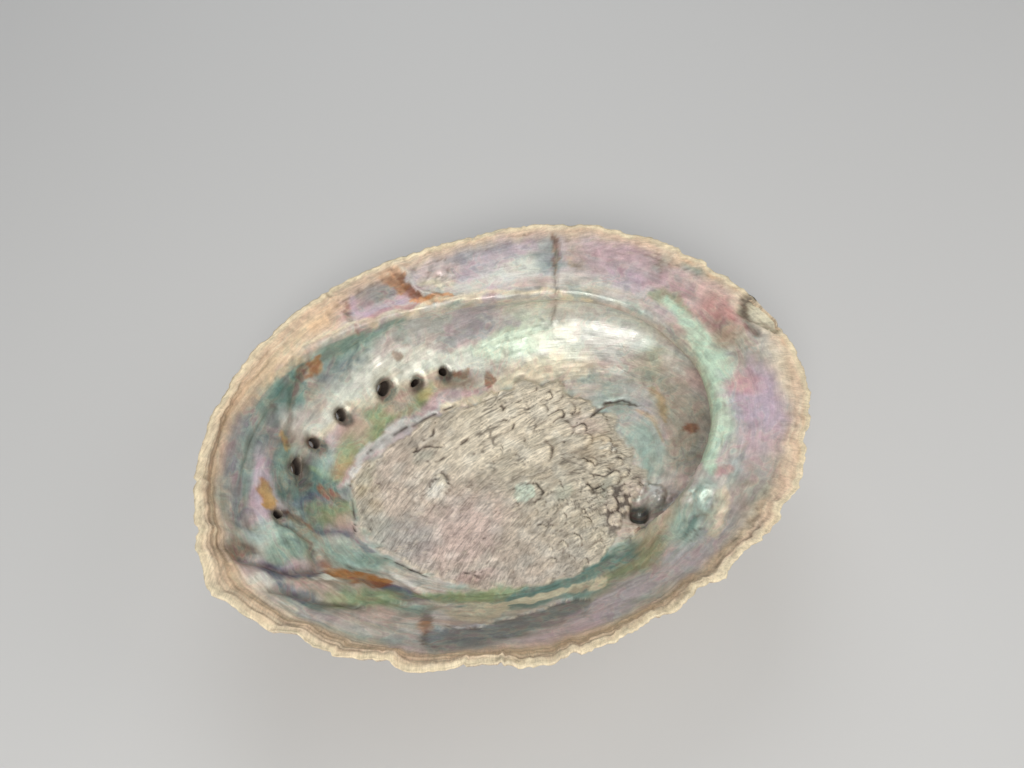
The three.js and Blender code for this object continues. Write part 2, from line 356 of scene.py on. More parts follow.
# Folds of the inner face: (height, half width, route in plan). Heights count FOLD_SCALE times.
FOLD_SCALE = 1.5
FOLDS = [
    (-1.0, 1.6, [(-77, -5), (-73, -9), (-70.5, -14), (-69.5, -22)]),
    (-1.1, 1.8, [(-88, -17), (-80, -23.5), (-70, -24)]),
    (-0.9, 1.5, [(-82, -29), (-72, -35.5), (-61, -38.5)]),
    (0.9, 3.5, [(-84, -24), (-74, -30), (-61, -32.5)]),
    (1.3, 7.0, [(-79, -13), (-76, -16)]),
    (-1.0, 3.0, [(-91.5, -12), (-86, -15.5)]),
    (-0.7, 1.8, [(-70, 33), (-79, 22), (-84, 8), (-85, -6)]),
    (-0.5, 1.4, [(-66, 26), (-73, 10), (-73, -3)]),
    (-0.7, 1.3, [(-58, 45), (-66, 32), (-69, 22)]),
    (-0.5, 1.0, [(-61, -22.5), (-50, -27), (-41, -39)]),
    (0.5, 1.5, [(-60, -32), (-48, -40), (-34, -44.5)]),
    (-0.5, 0.8, [(42.5, 66), (40, 56), (35, 44)]),
    (0.7, 1.3, [(-16, 73), (-13, 68), (-12.5, 61), (-6, 55)]),
    (-0.5, 0.7, [(-43, 68), (-40.5, 62), (-37.5, 56)]),
    (0.5, 2.0, [(-31, 45), (-12, 51), (4, 53)]),
    (0.4, 1.6, [(49, -52), (60, -46), (69, -33), (73, -20)]),
]

# Cracks in the muscle scar: (half width, route).
CRACKS = [
    (0.45, [(-24, 9), (-16, 12), (-8, 15), (5, 17.5), (8, 16)]),
    (0.35, [(-19, 23.5), (-22, 19), (-26, 18.5), (-30, 15)]),
    (0.35, [(-30, 15), (-25, 16), (-20, 14)]),
    (0.5, [(-26.5, 10.5), (-24, 10)]),
    (0.45, [(-30, 0.5), (-26, 2.5), (-22.5, 2.5), (-21.5, 0)]),
    (0.3, [(-54, 11), (-55, 3), (-55.5, -3), (-57, -10)]),
    (0.35, [(-50, -20.5), (-45, -25), (-39, -31)]),
    (0.3, [(-27, -33.5), (-23, -36.5), (-20, -37.5)]),
    (0.35, [(-46, 18), (-36, 22.5), (-22, 26), (-8, 28)]),
    (0.3, [(36, -15.5), (31, -16.5), (27, -13.5), (31, -10.5)]),
    (0.3, [(24, -16), (27, -19.5), (30, -19)]),
    (0.3, [(3, -8), (8, -9.5), (9, -14), (4, -17)]),
    (0.5, [(35.5, 7), (43, 10), (49, 9), (54, 4)]),
]

SCAR_POLE = np.array([25.5, -85.0])
TONGUE_COUNT = 430
KNOB_COUNT = 70
# The biggest tongues of the muscle scar: (x and y of the tip, length, half width, height).
TONGUES = [
    (17.5, 1.0, 22, 3.6, 1.5), (21.5, -3.0, 15, 2.2, 1.0), (28.5, 6.0, 26, 2.6, 1.3),
    (33.0, 4.2, 20, 2.0, 1.1), (32.5, -0.8, 18, 2.3, 1.1), (26.5, 11.5, 22, 1.9, 1.2),
    (9.5, 16.3, 30, 1.9, 1.1), (12.5, 13.0, 22, 1.8, 0.9), (29.5, -11.0, 18, 2.1, 1.1),
    (37.5, -7.2, 9, 2.0, 1.2), (38.5, -3.0, 8, 1.6, 0.9), (39.5, -12.5, 10, 1.9, 1.1),
    (31.0, 12.5, 12, 1.6, 1.0), (-21.5, 1.5, 17, 3.2, 1.1), (1.5, -11.0, 12, 3.0, 0.9),
    (24.0, -13.5, 12, 1.8, 0.9), (22.0, 16.5, 34, 2.0, 0.9), (15.0, 19.5, 36, 2.0, 0.8),
    (36.5, -18.5, 12, 3.0, 1.3), (25.5, -18.0, 10, 2.2, 1.0), (14.0, -24.0, 15, 1.7, 1.0),
    (18.5, -22.5, 15, 1.5, 0.9), (10.0, -34.5, 13, 1.9, 1.0), (14.5, -33.0, 12, 1.6, 0.8),
    (20.5, -29.5, 10, 1.7, 1.0), (4.0, -27.0, 16, 1.4, 0.7),
]


def noise_ring(skin):
    """A circle in place of the lip, one point for each column, to read noise on."""
    angle = np.radians(skin.degrees)
    return np.stack([np.cos(angle) * LIP_ROUND, np.sin(angle) * LIP_ROUND, 0 * angle], axis=-1)


def turn_gap(degrees, other):
    """Degrees between two directions, the short way round."""
    return np.abs((degrees - other + 180) % 360 - 180)


def between(low, high, value, soft):
    """1 between low and high, with edges that are soft to either side."""
    return smooth(low - soft, low + soft, value) * (1 - smooth(high - soft, high + soft, value))


def bend_lip(skin, reach):
    """The broken, scalloped lip, the same on both faces and fading away from the lip."""
    circle = noise_ring(skin)
    near = 0.5 + 0.5 * bell(turn_gap(skin.degrees, 280), 60)
    out = near * (2.3 * np.abs(noise(circle, 15, 1)) - 0.6) + 0.7 * noise(circle, 5, 2)
    out -= 1.1 * smooth(0.18, 0.45, noise(circle, 3.4, 8)) * (0.4 + 0.6 * near)
    out += 0.4 * noise(circle, 2.6, 3) + near * 0.7 * noise(circle, 1.7, 4)
    up = 0.5 * noise(circle, 12, 5) + 0.6 * noise(circle, 4, 6) + 0.5 * noise(circle, 1.9, 7) - 0.6
    for degrees, depth, width in LIP_BITES:
        out -= depth * bell(turn_gap(skin.degrees, degrees), width)
    angle = np.radians(skin.turn)
    fade = np.exp(-(skin.depth / reach) ** 1.5)
    skin.points[..., 0] += fade * out[:, None] * np.cos(angle)
    skin.points[..., 1] += fade * out[:, None] * np.sin(angle)
    skin.points[..., 2] += np.exp(-(skin.depth / (0.5 * reach)) ** 1.5) * up[:, None]


def scar_coords(xy):
    """Along and across the scar's grain, whose lines are arcs round a point outside it."""
    away = xy - SCAR_POLE
    return np.arctan2(away[..., 0], away[..., 1]) * SCAR_ROUND, length_of(away)


def hollows(lift):
    """How far each place lies below the average of the places round it; used for painted shade and
    painted highlight.
    """
    reach, rows = 3, lift.shape[1]
    padded = np.pad(lift, ((0, 0), (reach, reach)), mode="edge")
    shifts = (-reach, -1, 1, reach)
    around = sum(np.roll(lift, k, axis=0) for k in shifts)
    around = around + sum(padded[:, reach + k:reach + k + rows] for k in shifts)
    return around / (2 * len(shifts)) - lift


def tongue_list():
    """The named tongues and a crowd of small ones between them, lowest first."""
    random = np.random.default_rng(7)
    tongues = list(TONGUES)
    while len(tongues) < TONGUE_COUNT:
        x, y = 42 - 100 * random.uniform(0, 1) ** 1.35, random.uniform(-45, 30)
        right = smooth(-25, 15, x + 0.3 * y)
        half = random.uniform(0.7, 1.5) * (0.75 + 0.45 * right)
        tall = random.uniform(0.25, 0.6) * (0.45 + 0.75 * right)
        tongues.append((x, y, random.uniform(9, 24), half, tall))
    return sorted(tongues, key=lambda tongue: tongue[4])


def tongue_relief(points):
    """Height, gaps and a steady random shade of the overlapping tongues of the scar."""
    warped = points[..., :2] + 2.2 * drift(points, 9, 21) + 0.5 * drift(points, 3, 23)
    along, across = scar_coords(warped)
    height, gaps, shade = (np.zeros(along.shape) for _ in range(3))
    random = np.random.default_rng(11)
    for x, y, length, half, tall in tongue_list():
        tip, middle = scar_coords(np.array([x, y]))
        grow = np.clip((along - tip + length) / length, 0, 1)
        side = (across - middle) / (half * (0.5 + 0.5 * grow))
        front = np.maximum(0, (along - tip + half) / half)
        reach = np.sqrt(side ** 2 + front ** 2)
        body = np.maximum(0, 1 - reach ** 2) ** 0.4 * grow
        cover = smooth(0.05, 0.4, body)
        gaps = gaps * (1 - cover)
        edge = bell(reach - 1.12, 0.16) * grow ** 2 * (0.35 + 0.65 * smooth(0.0, 0.5, front))
        gaps = np.maximum(gaps, edge * min(1.0, tall / 0.8) * (height < 0.7 * tall))
        shade = shade + cover * (random.uniform(-1, 1) - shade)
        height = np.maximum(height, tall * body)
    return height, gaps, shade


def knob_relief(xy):
    """Round knobs and bubbles crowded about the hole where the spire starts."""
    random = np.random.default_rng(5)
    height = np.zeros(xy.shape[:-1])
    for _ in range(KNOB_COUNT):
        turn, reach = random.uniform(0, 2 * math.pi), random.uniform(4.5, 13.5)
        centre = PIT + reach * np.array([math.cos(turn), math.sin(turn)])
        radius = random.uniform(0.8, 2.0)
        swell = np.maximum(0, 1 - (length_of(xy - centre) / radius) ** 2)
        height = np.maximum(height, 0.7 * radius * np.sqrt(swell))
    return height


def slate_mask(points):
    """The worn grey hollow in the near wall: ragged at its upper edge, soft at its lower one."""
    gap, _ = to_line(points[..., :2], [(-42, -58), (-26, -61), (-12, -61), (2, -60)])
    gap = gap + 1.8 * noise(points, 6, 57) + 0.9 * noise(points, 2.2, 58)
    upper = smooth(-61, -58, points[..., 1])
    return smooth(5.6, 1.4 + 3.4 * upper, gap), upper


def chip_masks(xy):
    """The flake broken from the lip at the old end, and the curled crease beside it."""
    along = (xy - CHIP) @ CHIP_ALONG
    across = (xy - CHIP) @ [CHIP_ALONG[1], -CHIP_ALONG[0]]
    lost = np.maximum(np.abs(along) / CHIP_LONG, np.abs(across + 0.08 * along) / CHIP_WIDE)
    curl = to_line(xy, [(96, 13.5), (92.5, 14), (90.8, 10), (89.8, 4), (90.4, 0)])[0]
    return smooth(1.1, 0.9, lost), bell(curl, 1.3)


def scar_mask(skin):
    """1 on the muscle scar, whose border wanders a little about the scar's ring."""
    edge = 9.0 + 0.2 * noise(skin.points, 7, 31) + 0.12 * noise(skin.points, 2.5, 32)
    return smooth(edge - 0.05, edge + 0.07, skin.level)


def growth_relief(skin):
    """Waves of the whole inner face and the finer lines of its growth; also the rim's mask."""
    points, level = skin.points, skin.level
    drawn_out = skin.round_coords(16, 1)
    lift = 0.45 * noise(points, 24, 41) + 0.22 * fractal(points, 8, 3, 42)
    rim = 1 - smooth(6, 13, skin.depth + 3 * noise(points, 9, 43))
    lift += rim * (0.5 * noise(drawn_out * [1, 1, 0.8], 1, 44) + 0.3 * noise(points, 2.6, 45))
    lift += rim * 0.2 * noise(points, 1.4, 46)
    left = bell(turn_gap(skin.turn, 180), 65) * between(3.2, 8.2, level, 0.5)
    lift += left * 0.55 * noise(drawn_out * [1, 1, 0.28], 1, 47)
    lift += between(1.0, 9.0, level, 0.3) * 0.16 * noise(drawn_out * [1, 1, 0.9], 1, 48)
    return lift, rim


def add_marks(lift, skin):
    """Adds folds, the near lip's two grooves, the slate hollow, the flake and rough lumps."""
    points, xy, level = skin.points, skin.points[..., :2], skin.level
    ragged = xy + 0.9 * drift(points, 6, 51)
    for height, half, route in FOLDS:
        lift += FOLD_SCALE * height * bell(to_line(ragged, route)[0], half) * (level < 9.2)
    near = bell(turn_gap(skin.turn, 265), 70)
    lift -= near * 0.6 * bell(skin.depth - 4.2 - 1.5 * noise(points, 6, 55), 1.9)
    lift -= near * 0.35 * bell(skin.depth - 8.5 - 3 * noise(points, 8, 56), 1.6)
    slate, slate_upper = slate_mask(points)
    lift -= 0.7 * slate
    chip, crease = chip_masks(xy)
    lift -= 1.9 * chip + 0.9 * crease
    lumps = np.abs(noise(points, 3.4, 53)) * 1.6
    lift += lumps * bell(length_of(xy - [-3, 66]), 8) * (level < 3.4)
    lift += lumps * bell(length_of(xy - [47, -47]), 11)
    return {"slate": slate, "slate_upper": slate_upper, "chip": chip, "crease": crease}


def add_funnels(lift, skin):
    """Sinks a funnel with a low wall round each breathing hole; returns the funnels' mask, used
    for painted shade.
    """
    points, level = skin.points, skin.level
    funnel = np.zeros(level.shape)
    for x, y, width, stretch in PORES:
        axis, beside, _ = pore_frame(x, y)
        away = points[..., :2] - [x, y]
        outward = away @ axis[:2] / math.cos(PORE_DIP)
        gap = np.hypot(away @ beside[:2] / stretch, outward)
        lift -= (1.6 * bell(gap, 0.6 * width + 1.4) - 0.5 * bell(gap - width, 1.5)) * (level > 3.9)
        # the mask leans to one side of each hole, where the painted shade is heaviest
        low = gap + 0.3 * (away @ [-0.5, 0.85]) + 0.5 * noise(points, 2.5, 54)
        funnel = np.maximum(funnel, smooth(0.5 * width + 2.4, 0.5 * width + 0.2, low))
    return funnel * (level > 3.9)


def add_scar(lift, skin, around_pit):
    """Adds the scar's tongues, grain, pits and knobs, with the gaps between them."""
    points, xy = skin.points, skin.points[..., :2]
    scar = scar_mask(skin)
    height, gaps, shade = tongue_relief(points)
    gaps = gaps * smooth(-0.35, 0.35, noise(points, 4.5, 59))
    along, across = scar_coords(xy)
    bent = across + 1.6 * noise(points, 11, 33)
    grain = np.stack([along / 7, bent, 0 * along], axis=-1)
    right = smooth(-34, 6, xy[..., 0] + 0.5 * xy[..., 1])
    wood = (0.12 + 0.3 * right) * (noise(grain, 2.3, 61) + 0.6 * noise(grain, 1.2, 62))
    split = smooth(0.09, 0.02, np.abs(noise(grain * [0.7, 0.42, 1], 1, 68)))
    split *= right * smooth(-0.1, 0.35, noise(points, 9, 69))
    pitted = 0.3 * (1 - right) * (noise(points, 1.8, 63) + 0.6 * np.abs(noise(points, 3.4, 60)))
    knobs = 1 - smooth(11, 14, around_pit + 2 * noise(points, 5, 64))
    knob_height = knob_relief(xy)
    lift *= 1 - 0.5 * scar
    lift += scar * (0.5 + (1 - knobs) * (1.25 * height + wood + pitted) - 1.1 * gaps)
    lift += knobs * (skin.level > 7.9) * knob_height
    gaps = np.maximum(gaps, 0.75 * split)
    # gaps between tongues and between knobs, which the colour fills with painted shade
    crack = scar * (gaps * (1 - knobs) + 0.8 * knobs * (knob_height < 0.12))
    return {"scar": scar, "shade": shade, "knobs": knobs, "tongue": height, "right": right,
            "crack": crack}


def add_cracks(lift, skin, crack):
    """Cuts the named cracks; returns the mask of all cracks."""
    points = skin.points
    ragged = points[..., :2] + 0.5 * drift(points, 3, 65)
    broken = smooth(-0.5, 0.1, noise(points, 3.5, 70))
    for half, route in CRACKS:
        gap, place_on = to_line(ragged, route)
        half_here = half * (0.5 + 0.9 * np.sin(math.pi * np.clip(place_on, 0.02, 0.98)))
        line = bell(gap, 0.8 * half_here + 0.08) * (skin.level > 5.2)
        line *= broken
        crack = np.maximum(crack, line)
        lift -= 0.7 * line
    return np.clip(crack, 0, 1)


def shape_inside(skin):
    """Every bump, fold, crack and hollow of the inner face; returns the masks they leave."""
    points, xy, level = skin.points, skin.points[..., :2], skin.level
    around_pit = length_of(xy - PIT)
    lift, rim = growth_relief(skin)
    marks = {"rim": rim, **add_marks(lift, skin)}
    marks["funnel"] = add_funnels(lift, skin)
    marks.update(add_scar(lift, skin, around_pit))
    marks["crack"] = add_cracks(lift, skin, marks["crack"])
    # low places of the relief, kept for painted shade, and its ridges, for painted highlight
    marks["cavity"] = hollows(lift)
    skin.push(lift)
    # the pit's hole: sunk below the face, and painted near black as shade
    hole = smooth(4.0, 2.6, around_pit + 0.9 * noise(points, 4, 67)) * (level > 7.5)
    from_knob = length_of(xy - PIT_KNOB) / PIT_KNOB_RADIUS
    knob = np.maximum(0, 1 - from_knob ** 2) ** 0.5
    skin.points[..., 2] -= (level > 6.5) * (5 * bell(around_pit, 5) + 3.0 * hole - 2.2 * knob)
    marks.update(hole=hole, knob=knob * (level > 6.5))
    return marks


# ---------- relief on the outside

APEX = np.array([46.0, -33.0])
GROWTH_SPAN = 60.0          # the whole growth of the shell, in the units of its ridges' noise
CORDS = 34
# Knobs where older holes healed over, from the oldest open hole back towards the spire.
HEALED = [(2, 53), (15, 52), (28, 48.5), (39, 42), (48, 33), (55, 22), (58.5, 10), (59.5, -3),
          (58, -14), (54, -22)]


def growth(points):
    """How far out from the spire, 0 to 1, a place on the outside is, and its turn about it."""
    away = points[..., :2] - APEX
    reach = length_of(away)
    degrees = np.degrees(np.arctan2(away[..., 1], away[..., 0])) % 360
    start = APEX - MIDDLE
    lip = lip_at(outside.degrees)[:, 0]
    rays = np.radians(outside.degrees)
    rim = np.stack([lip * np.cos(rays), lip * np.sin(rays)], axis=1) - start
    rim_turn = np.degrees(np.arctan2(rim[:, 1], rim[:, 0])) % 360
    order = np.argsort(rim_turn)
    far = np.interp(degrees, rim_turn[order], np.linalg.norm(rim, axis=1)[order], period=360)
    down = np.clip(points[..., 2] / LIP_HEIGHT, 0, 1)
    return np.clip(0.72 * reach / far + 0.28 * down, 0, 1.1), np.radians(degrees)


def shape_outside(skin):
    """Growth ridges, spiral cords, hole tubes and spire; returns the masks they leave."""
    points, xy = skin.points, skin.points[..., :2]
    age, turn = growth(points)
    twist = turn + 1.1 * np.log(age + 0.12)
    wave = age + 0.012 * noise(points, 18, 71) + 0.004 * noise(points, 6, 72)
    drawn = np.stack([wave * GROWTH_SPAN, 0.05 * points[..., 0], 0.05 * points[..., 1]], axis=-1)
    ridges = noise(drawn, 2.6, 73) + 0.6 * noise(drawn, 1.1, 74) + 0.4 * noise(drawn, 0.5, 75)
    cords = np.cos(CORDS * twist + 1.4 * noise(points, 25, 76))
    lift = 0.75 * ridges + 0.3 * cords * smooth(0.08, 0.3, age)
    lift += 0.9 * noise(points, 26, 77) + 0.35 * fractal(points, 7, 3, 78) - 0.5
    tubes = np.zeros(age.shape)
    for x, y, _, _ in PORES:
        start = np.array([x, y])
        away = (start - MIDDLE) / np.linalg.norm(start - MIDDLE)
        centre = start + PORE_OUTSIDE * away
        gap = length_of(xy - centre)
        rise = 2.6 * bell(gap, 5)
        skin.points[..., :2] += 0.6 * rise[..., None] * away
        skin.points[..., 2] -= 0.8 * rise
        tubes = np.maximum(tubes, bell(gap, 6))
    for x, y in HEALED:
        gap = length_of(xy - [x, y])
        lift += 1.5 * bell(gap, 3.2)
        tubes = np.maximum(tubes, 0.7 * bell(gap, 4))
    skin.points[..., 2] -= 4.0 * bell(length_of(xy - SPIRE), 13)
    spire = length_of(xy - APEX)
    suture = np.sin(turn - 2.6 * np.log(spire + 1.5))
    lift -= 0.9 * smooth(0.75, 1.0, suture) * bell(spire, 17)
    lift *= smooth(0.0, 8.0, skin.depth)
    # low places and ridges of the relief, kept for painted shade and painted highlight
    cavity = hollows(lift)
    skin.push(lift)
    floor = 0.02 + 0.35 * np.maximum(0, -0.6 * ridges - 0.2 * cords)
    skin.points[..., 2] = np.maximum(skin.points[..., 2], floor)
    return {"age": age, "ridges": ridges, "cords": cords, "tubes": tubes, "spire": spire,
            "cavity": cavity}


# ---------- colours laid on one by one

def shade_of(red, green, blue):
    """A plain screen colour as linear light."""
    value = np.array([red, green, blue]) / 255
    return np.where(value <= 0.04045, value / 12.92, ((value + 0.055) / 1.055) ** 2.4)


CREAM = shade_of(236, 222, 194)
PEACH = shade_of(232, 202, 172)
SHELL_ORANGE = shade_of(224, 172, 126)
PEARL = shade_of(232, 234, 222)
SILVER = shade_of(206, 206, 202)
LILAC = shade_of(194, 176, 190)
MAUVE = shade_of(200, 172, 178)
PINK = shade_of(216, 184, 176)
ROSE = shade_of(198, 146, 142)
MINT = shade_of(198, 220, 198)
AQUA = shade_of(168, 194, 184)
SEA = shade_of(134, 160, 148)
TEAL = shade_of(94, 130, 124)
GREEN = shade_of(142, 160, 116)
OLIVE = shade_of(160, 152, 116)
STEEL = shade_of(140, 148, 152)
SLATE = shade_of(120, 122, 124)
VIOLET = shade_of(80, 80, 116)
OCHRE = shade_of(196, 160, 100)
AMBER = shade_of(176, 116, 44)
RUST = shade_of(142, 82, 44)
ORANGE = shade_of(214, 142, 86)
BROWN = shade_of(96, 70, 52)
TAUPE = shade_of(160, 148, 132)
CHALK = shade_of(218, 208, 182)
TAN = shade_of(188, 172, 144)
UMBER = shade_of(58, 46, 38)
BRICK = shade_of(140, 92, 74)

# Bands of levels that a brush keeps to.
ALL = (-1.0, 12.0)
SHELF = (0.7, 4.1)
HOLLOW = (4.1, 9.0)
LEFT_WALL = (3.4, 9)
SCAR_FACE = (9.0, 12.0)

WORN_LIGHT = 0.5            # tone of worn nacre, which deepening leaves as it is


class Coat:
    """Colour over one face of the shell, put on in soft ragged patches and strokes."""

    def __init__(self, skin, base):
        self.skin = skin
        self.colour = np.tile(base, skin.level.shape + (1,)).astype(float)
        points = skin.points
        broad, fine = drift(points, 11, 81), drift(points, 3.5, 83)
        self.soft_xy = points[..., :2] + 2.6 * broad + 0.8 * fine
        self.torn_xy = points[..., :2] + 0.8 * broad + 1.3 * fine
        self.speckle = fractal(points, 2.6, 2, 85)

    def brushes(self, band):
        """Patch and stroke with soft edges, then both with torn edges, kept to one band."""
        return [partial(brush, band=band, torn=torn) for torn in (False, True)
                for brush in (self.patch, self.stroke)]

    def within(self, band):
        return between(band[0], band[1], self.skin.level, 0.12)

    def wash(self, colour, mask):
        """Lays a colour over the whole face, as thickly as the mask says."""
        self.colour += np.clip(mask, 0, 1)[..., None] * (colour - self.colour)

    def deepen(self, contrast, saturation):
        """Draw dark and light, and the hues, further apart about the tone of worn nacre."""
        light = self.colour.mean(axis=-1, keepdims=True)
        colour = light + saturation * (self.colour - light)
        colour *= (light / WORN_LIGHT) ** (contrast - 1)
        self.colour = np.clip(colour, 0.01, 0.92)

    def patch(self, colour, x, y, long, wide, turn, strength, band, torn):
        """An oval with half sizes long and wide, turned by degrees."""
        xy = (self.torn_xy if torn else self.soft_xy) - [x, y]
        c, s = math.cos(math.radians(turn)), math.sin(math.radians(turn))
        along = (xy[..., 0] * c + xy[..., 1] * s) / long
        across = (xy[..., 1] * c - xy[..., 0] * s) / wide
        reach = np.hypot(along, across) + 0.25 * self.speckle
        soft = 0.18 if torn else 0.5
        self.wash(colour, strength * smooth(1 + soft, 1 - soft, reach) * self.within(band))

    def stroke(self, colour, route, half, strength, band, torn):
        """A band of half width half along a route, thinner at its ends."""
        xy = self.torn_xy if torn else self.soft_xy
        gap, place_on = to_line(xy, route)
        taper = 0.45 + 0.75 * np.sin(math.pi * np.clip(place_on, 0.03, 0.97))
        reach = gap / (half * taper) + 0.3 * self.speckle
        soft = 0.2 if torn else 0.55
        self.wash(colour, strength * smooth(1 + soft, 1 - soft, reach) * self.within(band))


def paint_nacre(coat):
    """The washed-out play of colour everywhere, before any one patch."""
    points, skin, wash = coat.skin.points, coat.skin, coat.wash
    slow = noise(points, 15, 91)
    bands = noise(skin.round_coords(20, 1) * [1, 1, 0.22], 1, 92)
    fine = noise(skin.round_coords(9, 1) * [1, 1, 0.6], 1, 93)
    wash(LILAC, 0.55 * smooth(0.0, 0.5, slow))
    wash(AQUA, 0.5 * smooth(0.05, 0.55, bands))
    wash(PINK, 0.45 * smooth(0.1, 0.6, -bands + 0.4 * slow))
    wash(STEEL, 0.28 * smooth(0.15, 0.6, fine))
    wash(CREAM, 0.25 * smooth(0.1, 0.6, -fine))
    wash(TAUPE, 0.35 * smooth(0.1, 0.6, noise(points, 7, 94)))


def paint_shelf(coat):
    """The flat shelf, from its left end round the back and down the right side."""
    patch, stroke, fleck, streak = coat.brushes(SHELF)
    stroke(PEACH, [(-97, 22), (-88, 38), (-72, 51), (-54, 59), (-38, 64)], 8.5, 0.95)
    stroke(CREAM, [(-86, 37), (-70, 49), (-50, 58)], 4.5, 0.7)
    patch(PEACH, -46, 56, 8, 5, 28, 0.7)
    streak(TAUPE, [(-88, 42), (-74, 53), (-60, 60)], 1.0, 0.45)
    patch(OCHRE, -63, 55, 5, 2, 35, 0.4)
    patch(MAUVE, -27, 61, 13, 8, 15, 0.95)
    patch(STEEL, -26, 65, 8, 4.5, 12, 0.7)
    stroke(LILAC, [(-36, 64), (-36, 58), (-30, 57), (-20, 59)], 2.2, 0.8)
    stroke(BRICK, [(-38.5, 63), (-38.8, 57), (-36.5, 51)], 0.8, 0.55)
    stroke(ROSE, [(-34, 53), (-22, 56), (-14, 56)], 1.2, 0.6)
    patch(SILVER, 10, 64, 22, 7, -4, 0.75)
    fleck(CREAM, -2, 66, 9, 7, 0, 0.8)
    patch(LILAC, 14, 62, 9, 4, 0, 0.5)
    patch(PEARL, 22, 59, 12, 5, -8, 0.6)
    patch(STEEL, 38, 60, 6, 8, 0, 0.55)
    streak(ORANGE, [(-26, 72), (-20, 70.5), (-17, 63)], 3.4, 0.8)
    stroke(RUST, [(-24, 70), (-19.5, 65), (-15, 59)], 1.2, 0.6)
    streak(RUST, [(-18, 71), (-15.5, 65), (-13.5, 59), (-9, 55.5)], 1.3, 0.85)
    streak(ORANGE, [(-14, 57), (-8, 54.5), (-1, 55)], 2.0, 0.85)
    streak(OCHRE, [(-25, 74), (-12, 76), (0, 76)], 1.8, 0.55)
    streak(RUST, [(43, 67), (41, 59), (38, 52)], 1.1, 0.6)
    fleck(OCHRE, 48, 57, 3.5, 7, -15, 0.5)
    fleck(BROWN, 47, 53, 1.6, 3, -10, 0.45)
    patch(SILVER, 56, 54, 12, 9, -30, 0.6)
    patch(MAUVE, 62, 48, 12, 8, -42, 0.65)
    patch(LILAC, 60, 40, 8, 4, -45, 0.6)
    streak(BROWN, [(75, 46), (73, 41), (72, 36)], 1.0, 0.6)
    fleck(RUST, 78, 37, 2.5, 2, 0, 0.5)
    patch(TAUPE, 76, 40, 7, 5, -50, 0.45)
    stroke(STEEL, [(79, 42), (82, 37), (84, 33)], 2.2, 0.6)
    stroke(SEA, [(81, 39), (87, 31), (90.5, 22)], 3.0, 0.85)
    stroke(AQUA, [(85, 36), (88.5, 29), (90, 24)], 1.6, 0.8)
    stroke(LILAC, [(-8, 67), (10, 69), (32, 67)], 7, 0.6)
    stroke(STEEL, [(-2, 70), (14, 71), (30, 70)], 3, 0.45)
    stroke(MAUVE, [(46, 60), (60, 54), (72, 44)], 7, 0.5)
    stroke(TAUPE, [(-34, 60), (-26, 64), (-19, 66)], 5, 0.35)
    stroke(TAN, [(73, 24), (75, 8), (72, -8), (63, -24)], 4.5, 0.6, band=(2.6, 5))
    patch(PINK, 80, 18, 16, 9, -65, 0.8)
    patch(ROSE, 82, 12, 9, 6, -70, 0.6)
    patch(MAUVE, 72, 28, 10, 8, -55, 0.7)
    patch(BROWN, 82, 8, 4, 3, -40, 0.35)
    patch(BROWN, 78, 3, 3, 3, -40, 0.25)
    patch(ROSE, 88, 10, 6, 6, 0, 0.45)
    patch(OLIVE, 82, 3, 6, 4, -30, 0.45)
    stroke(GREEN, [(66, 31), (72, 25), (75, 19)], 2.6, 0.6)
    stroke(MINT, [(70, 25), (74.5, 13), (74.5, 0), (72, -13), (65, -26), (55, -38)], 3.4, 0.9)
    patch(TAUPE, 84, -6, 10, 5, -85, 0.5)
    patch(LILAC, 79, -24, 15, 9, -112, 0.9)
    patch(MAUVE, 71, -36, 8, 7, -120, 0.6)
    patch(ROSE, 79, -14, 5, 4, -60, 0.55)
    patch(CREAM, 92, -20, 12, 5, -95, 0.6)
    patch(PEACH, 84, -42, 10, 5, -125, 0.6)
    fleck(ROSE, 58, -40, 3, 2, 0, 0.6)
    patch(TAUPE, 62, -50, 10, 6, -145, 0.6, band=ALL)
    fleck(CREAM, 51, -51, 9, 2.8, 50, 0.7, band=ALL)
    patch(AQUA, 45, -47, 10, 6, 45, 0.75, band=ALL)
    stroke(TEAL, [(41, -52), (45, -49)], 1.2, 0.6, band=ALL)
    crest = [(-60, 49), (-38, 53), (-10, 54), (12, 52), (32, 46), (47, 37)]
    stroke(CREAM, crest, 0.9, 0.65, band=(2.4, 4.2))


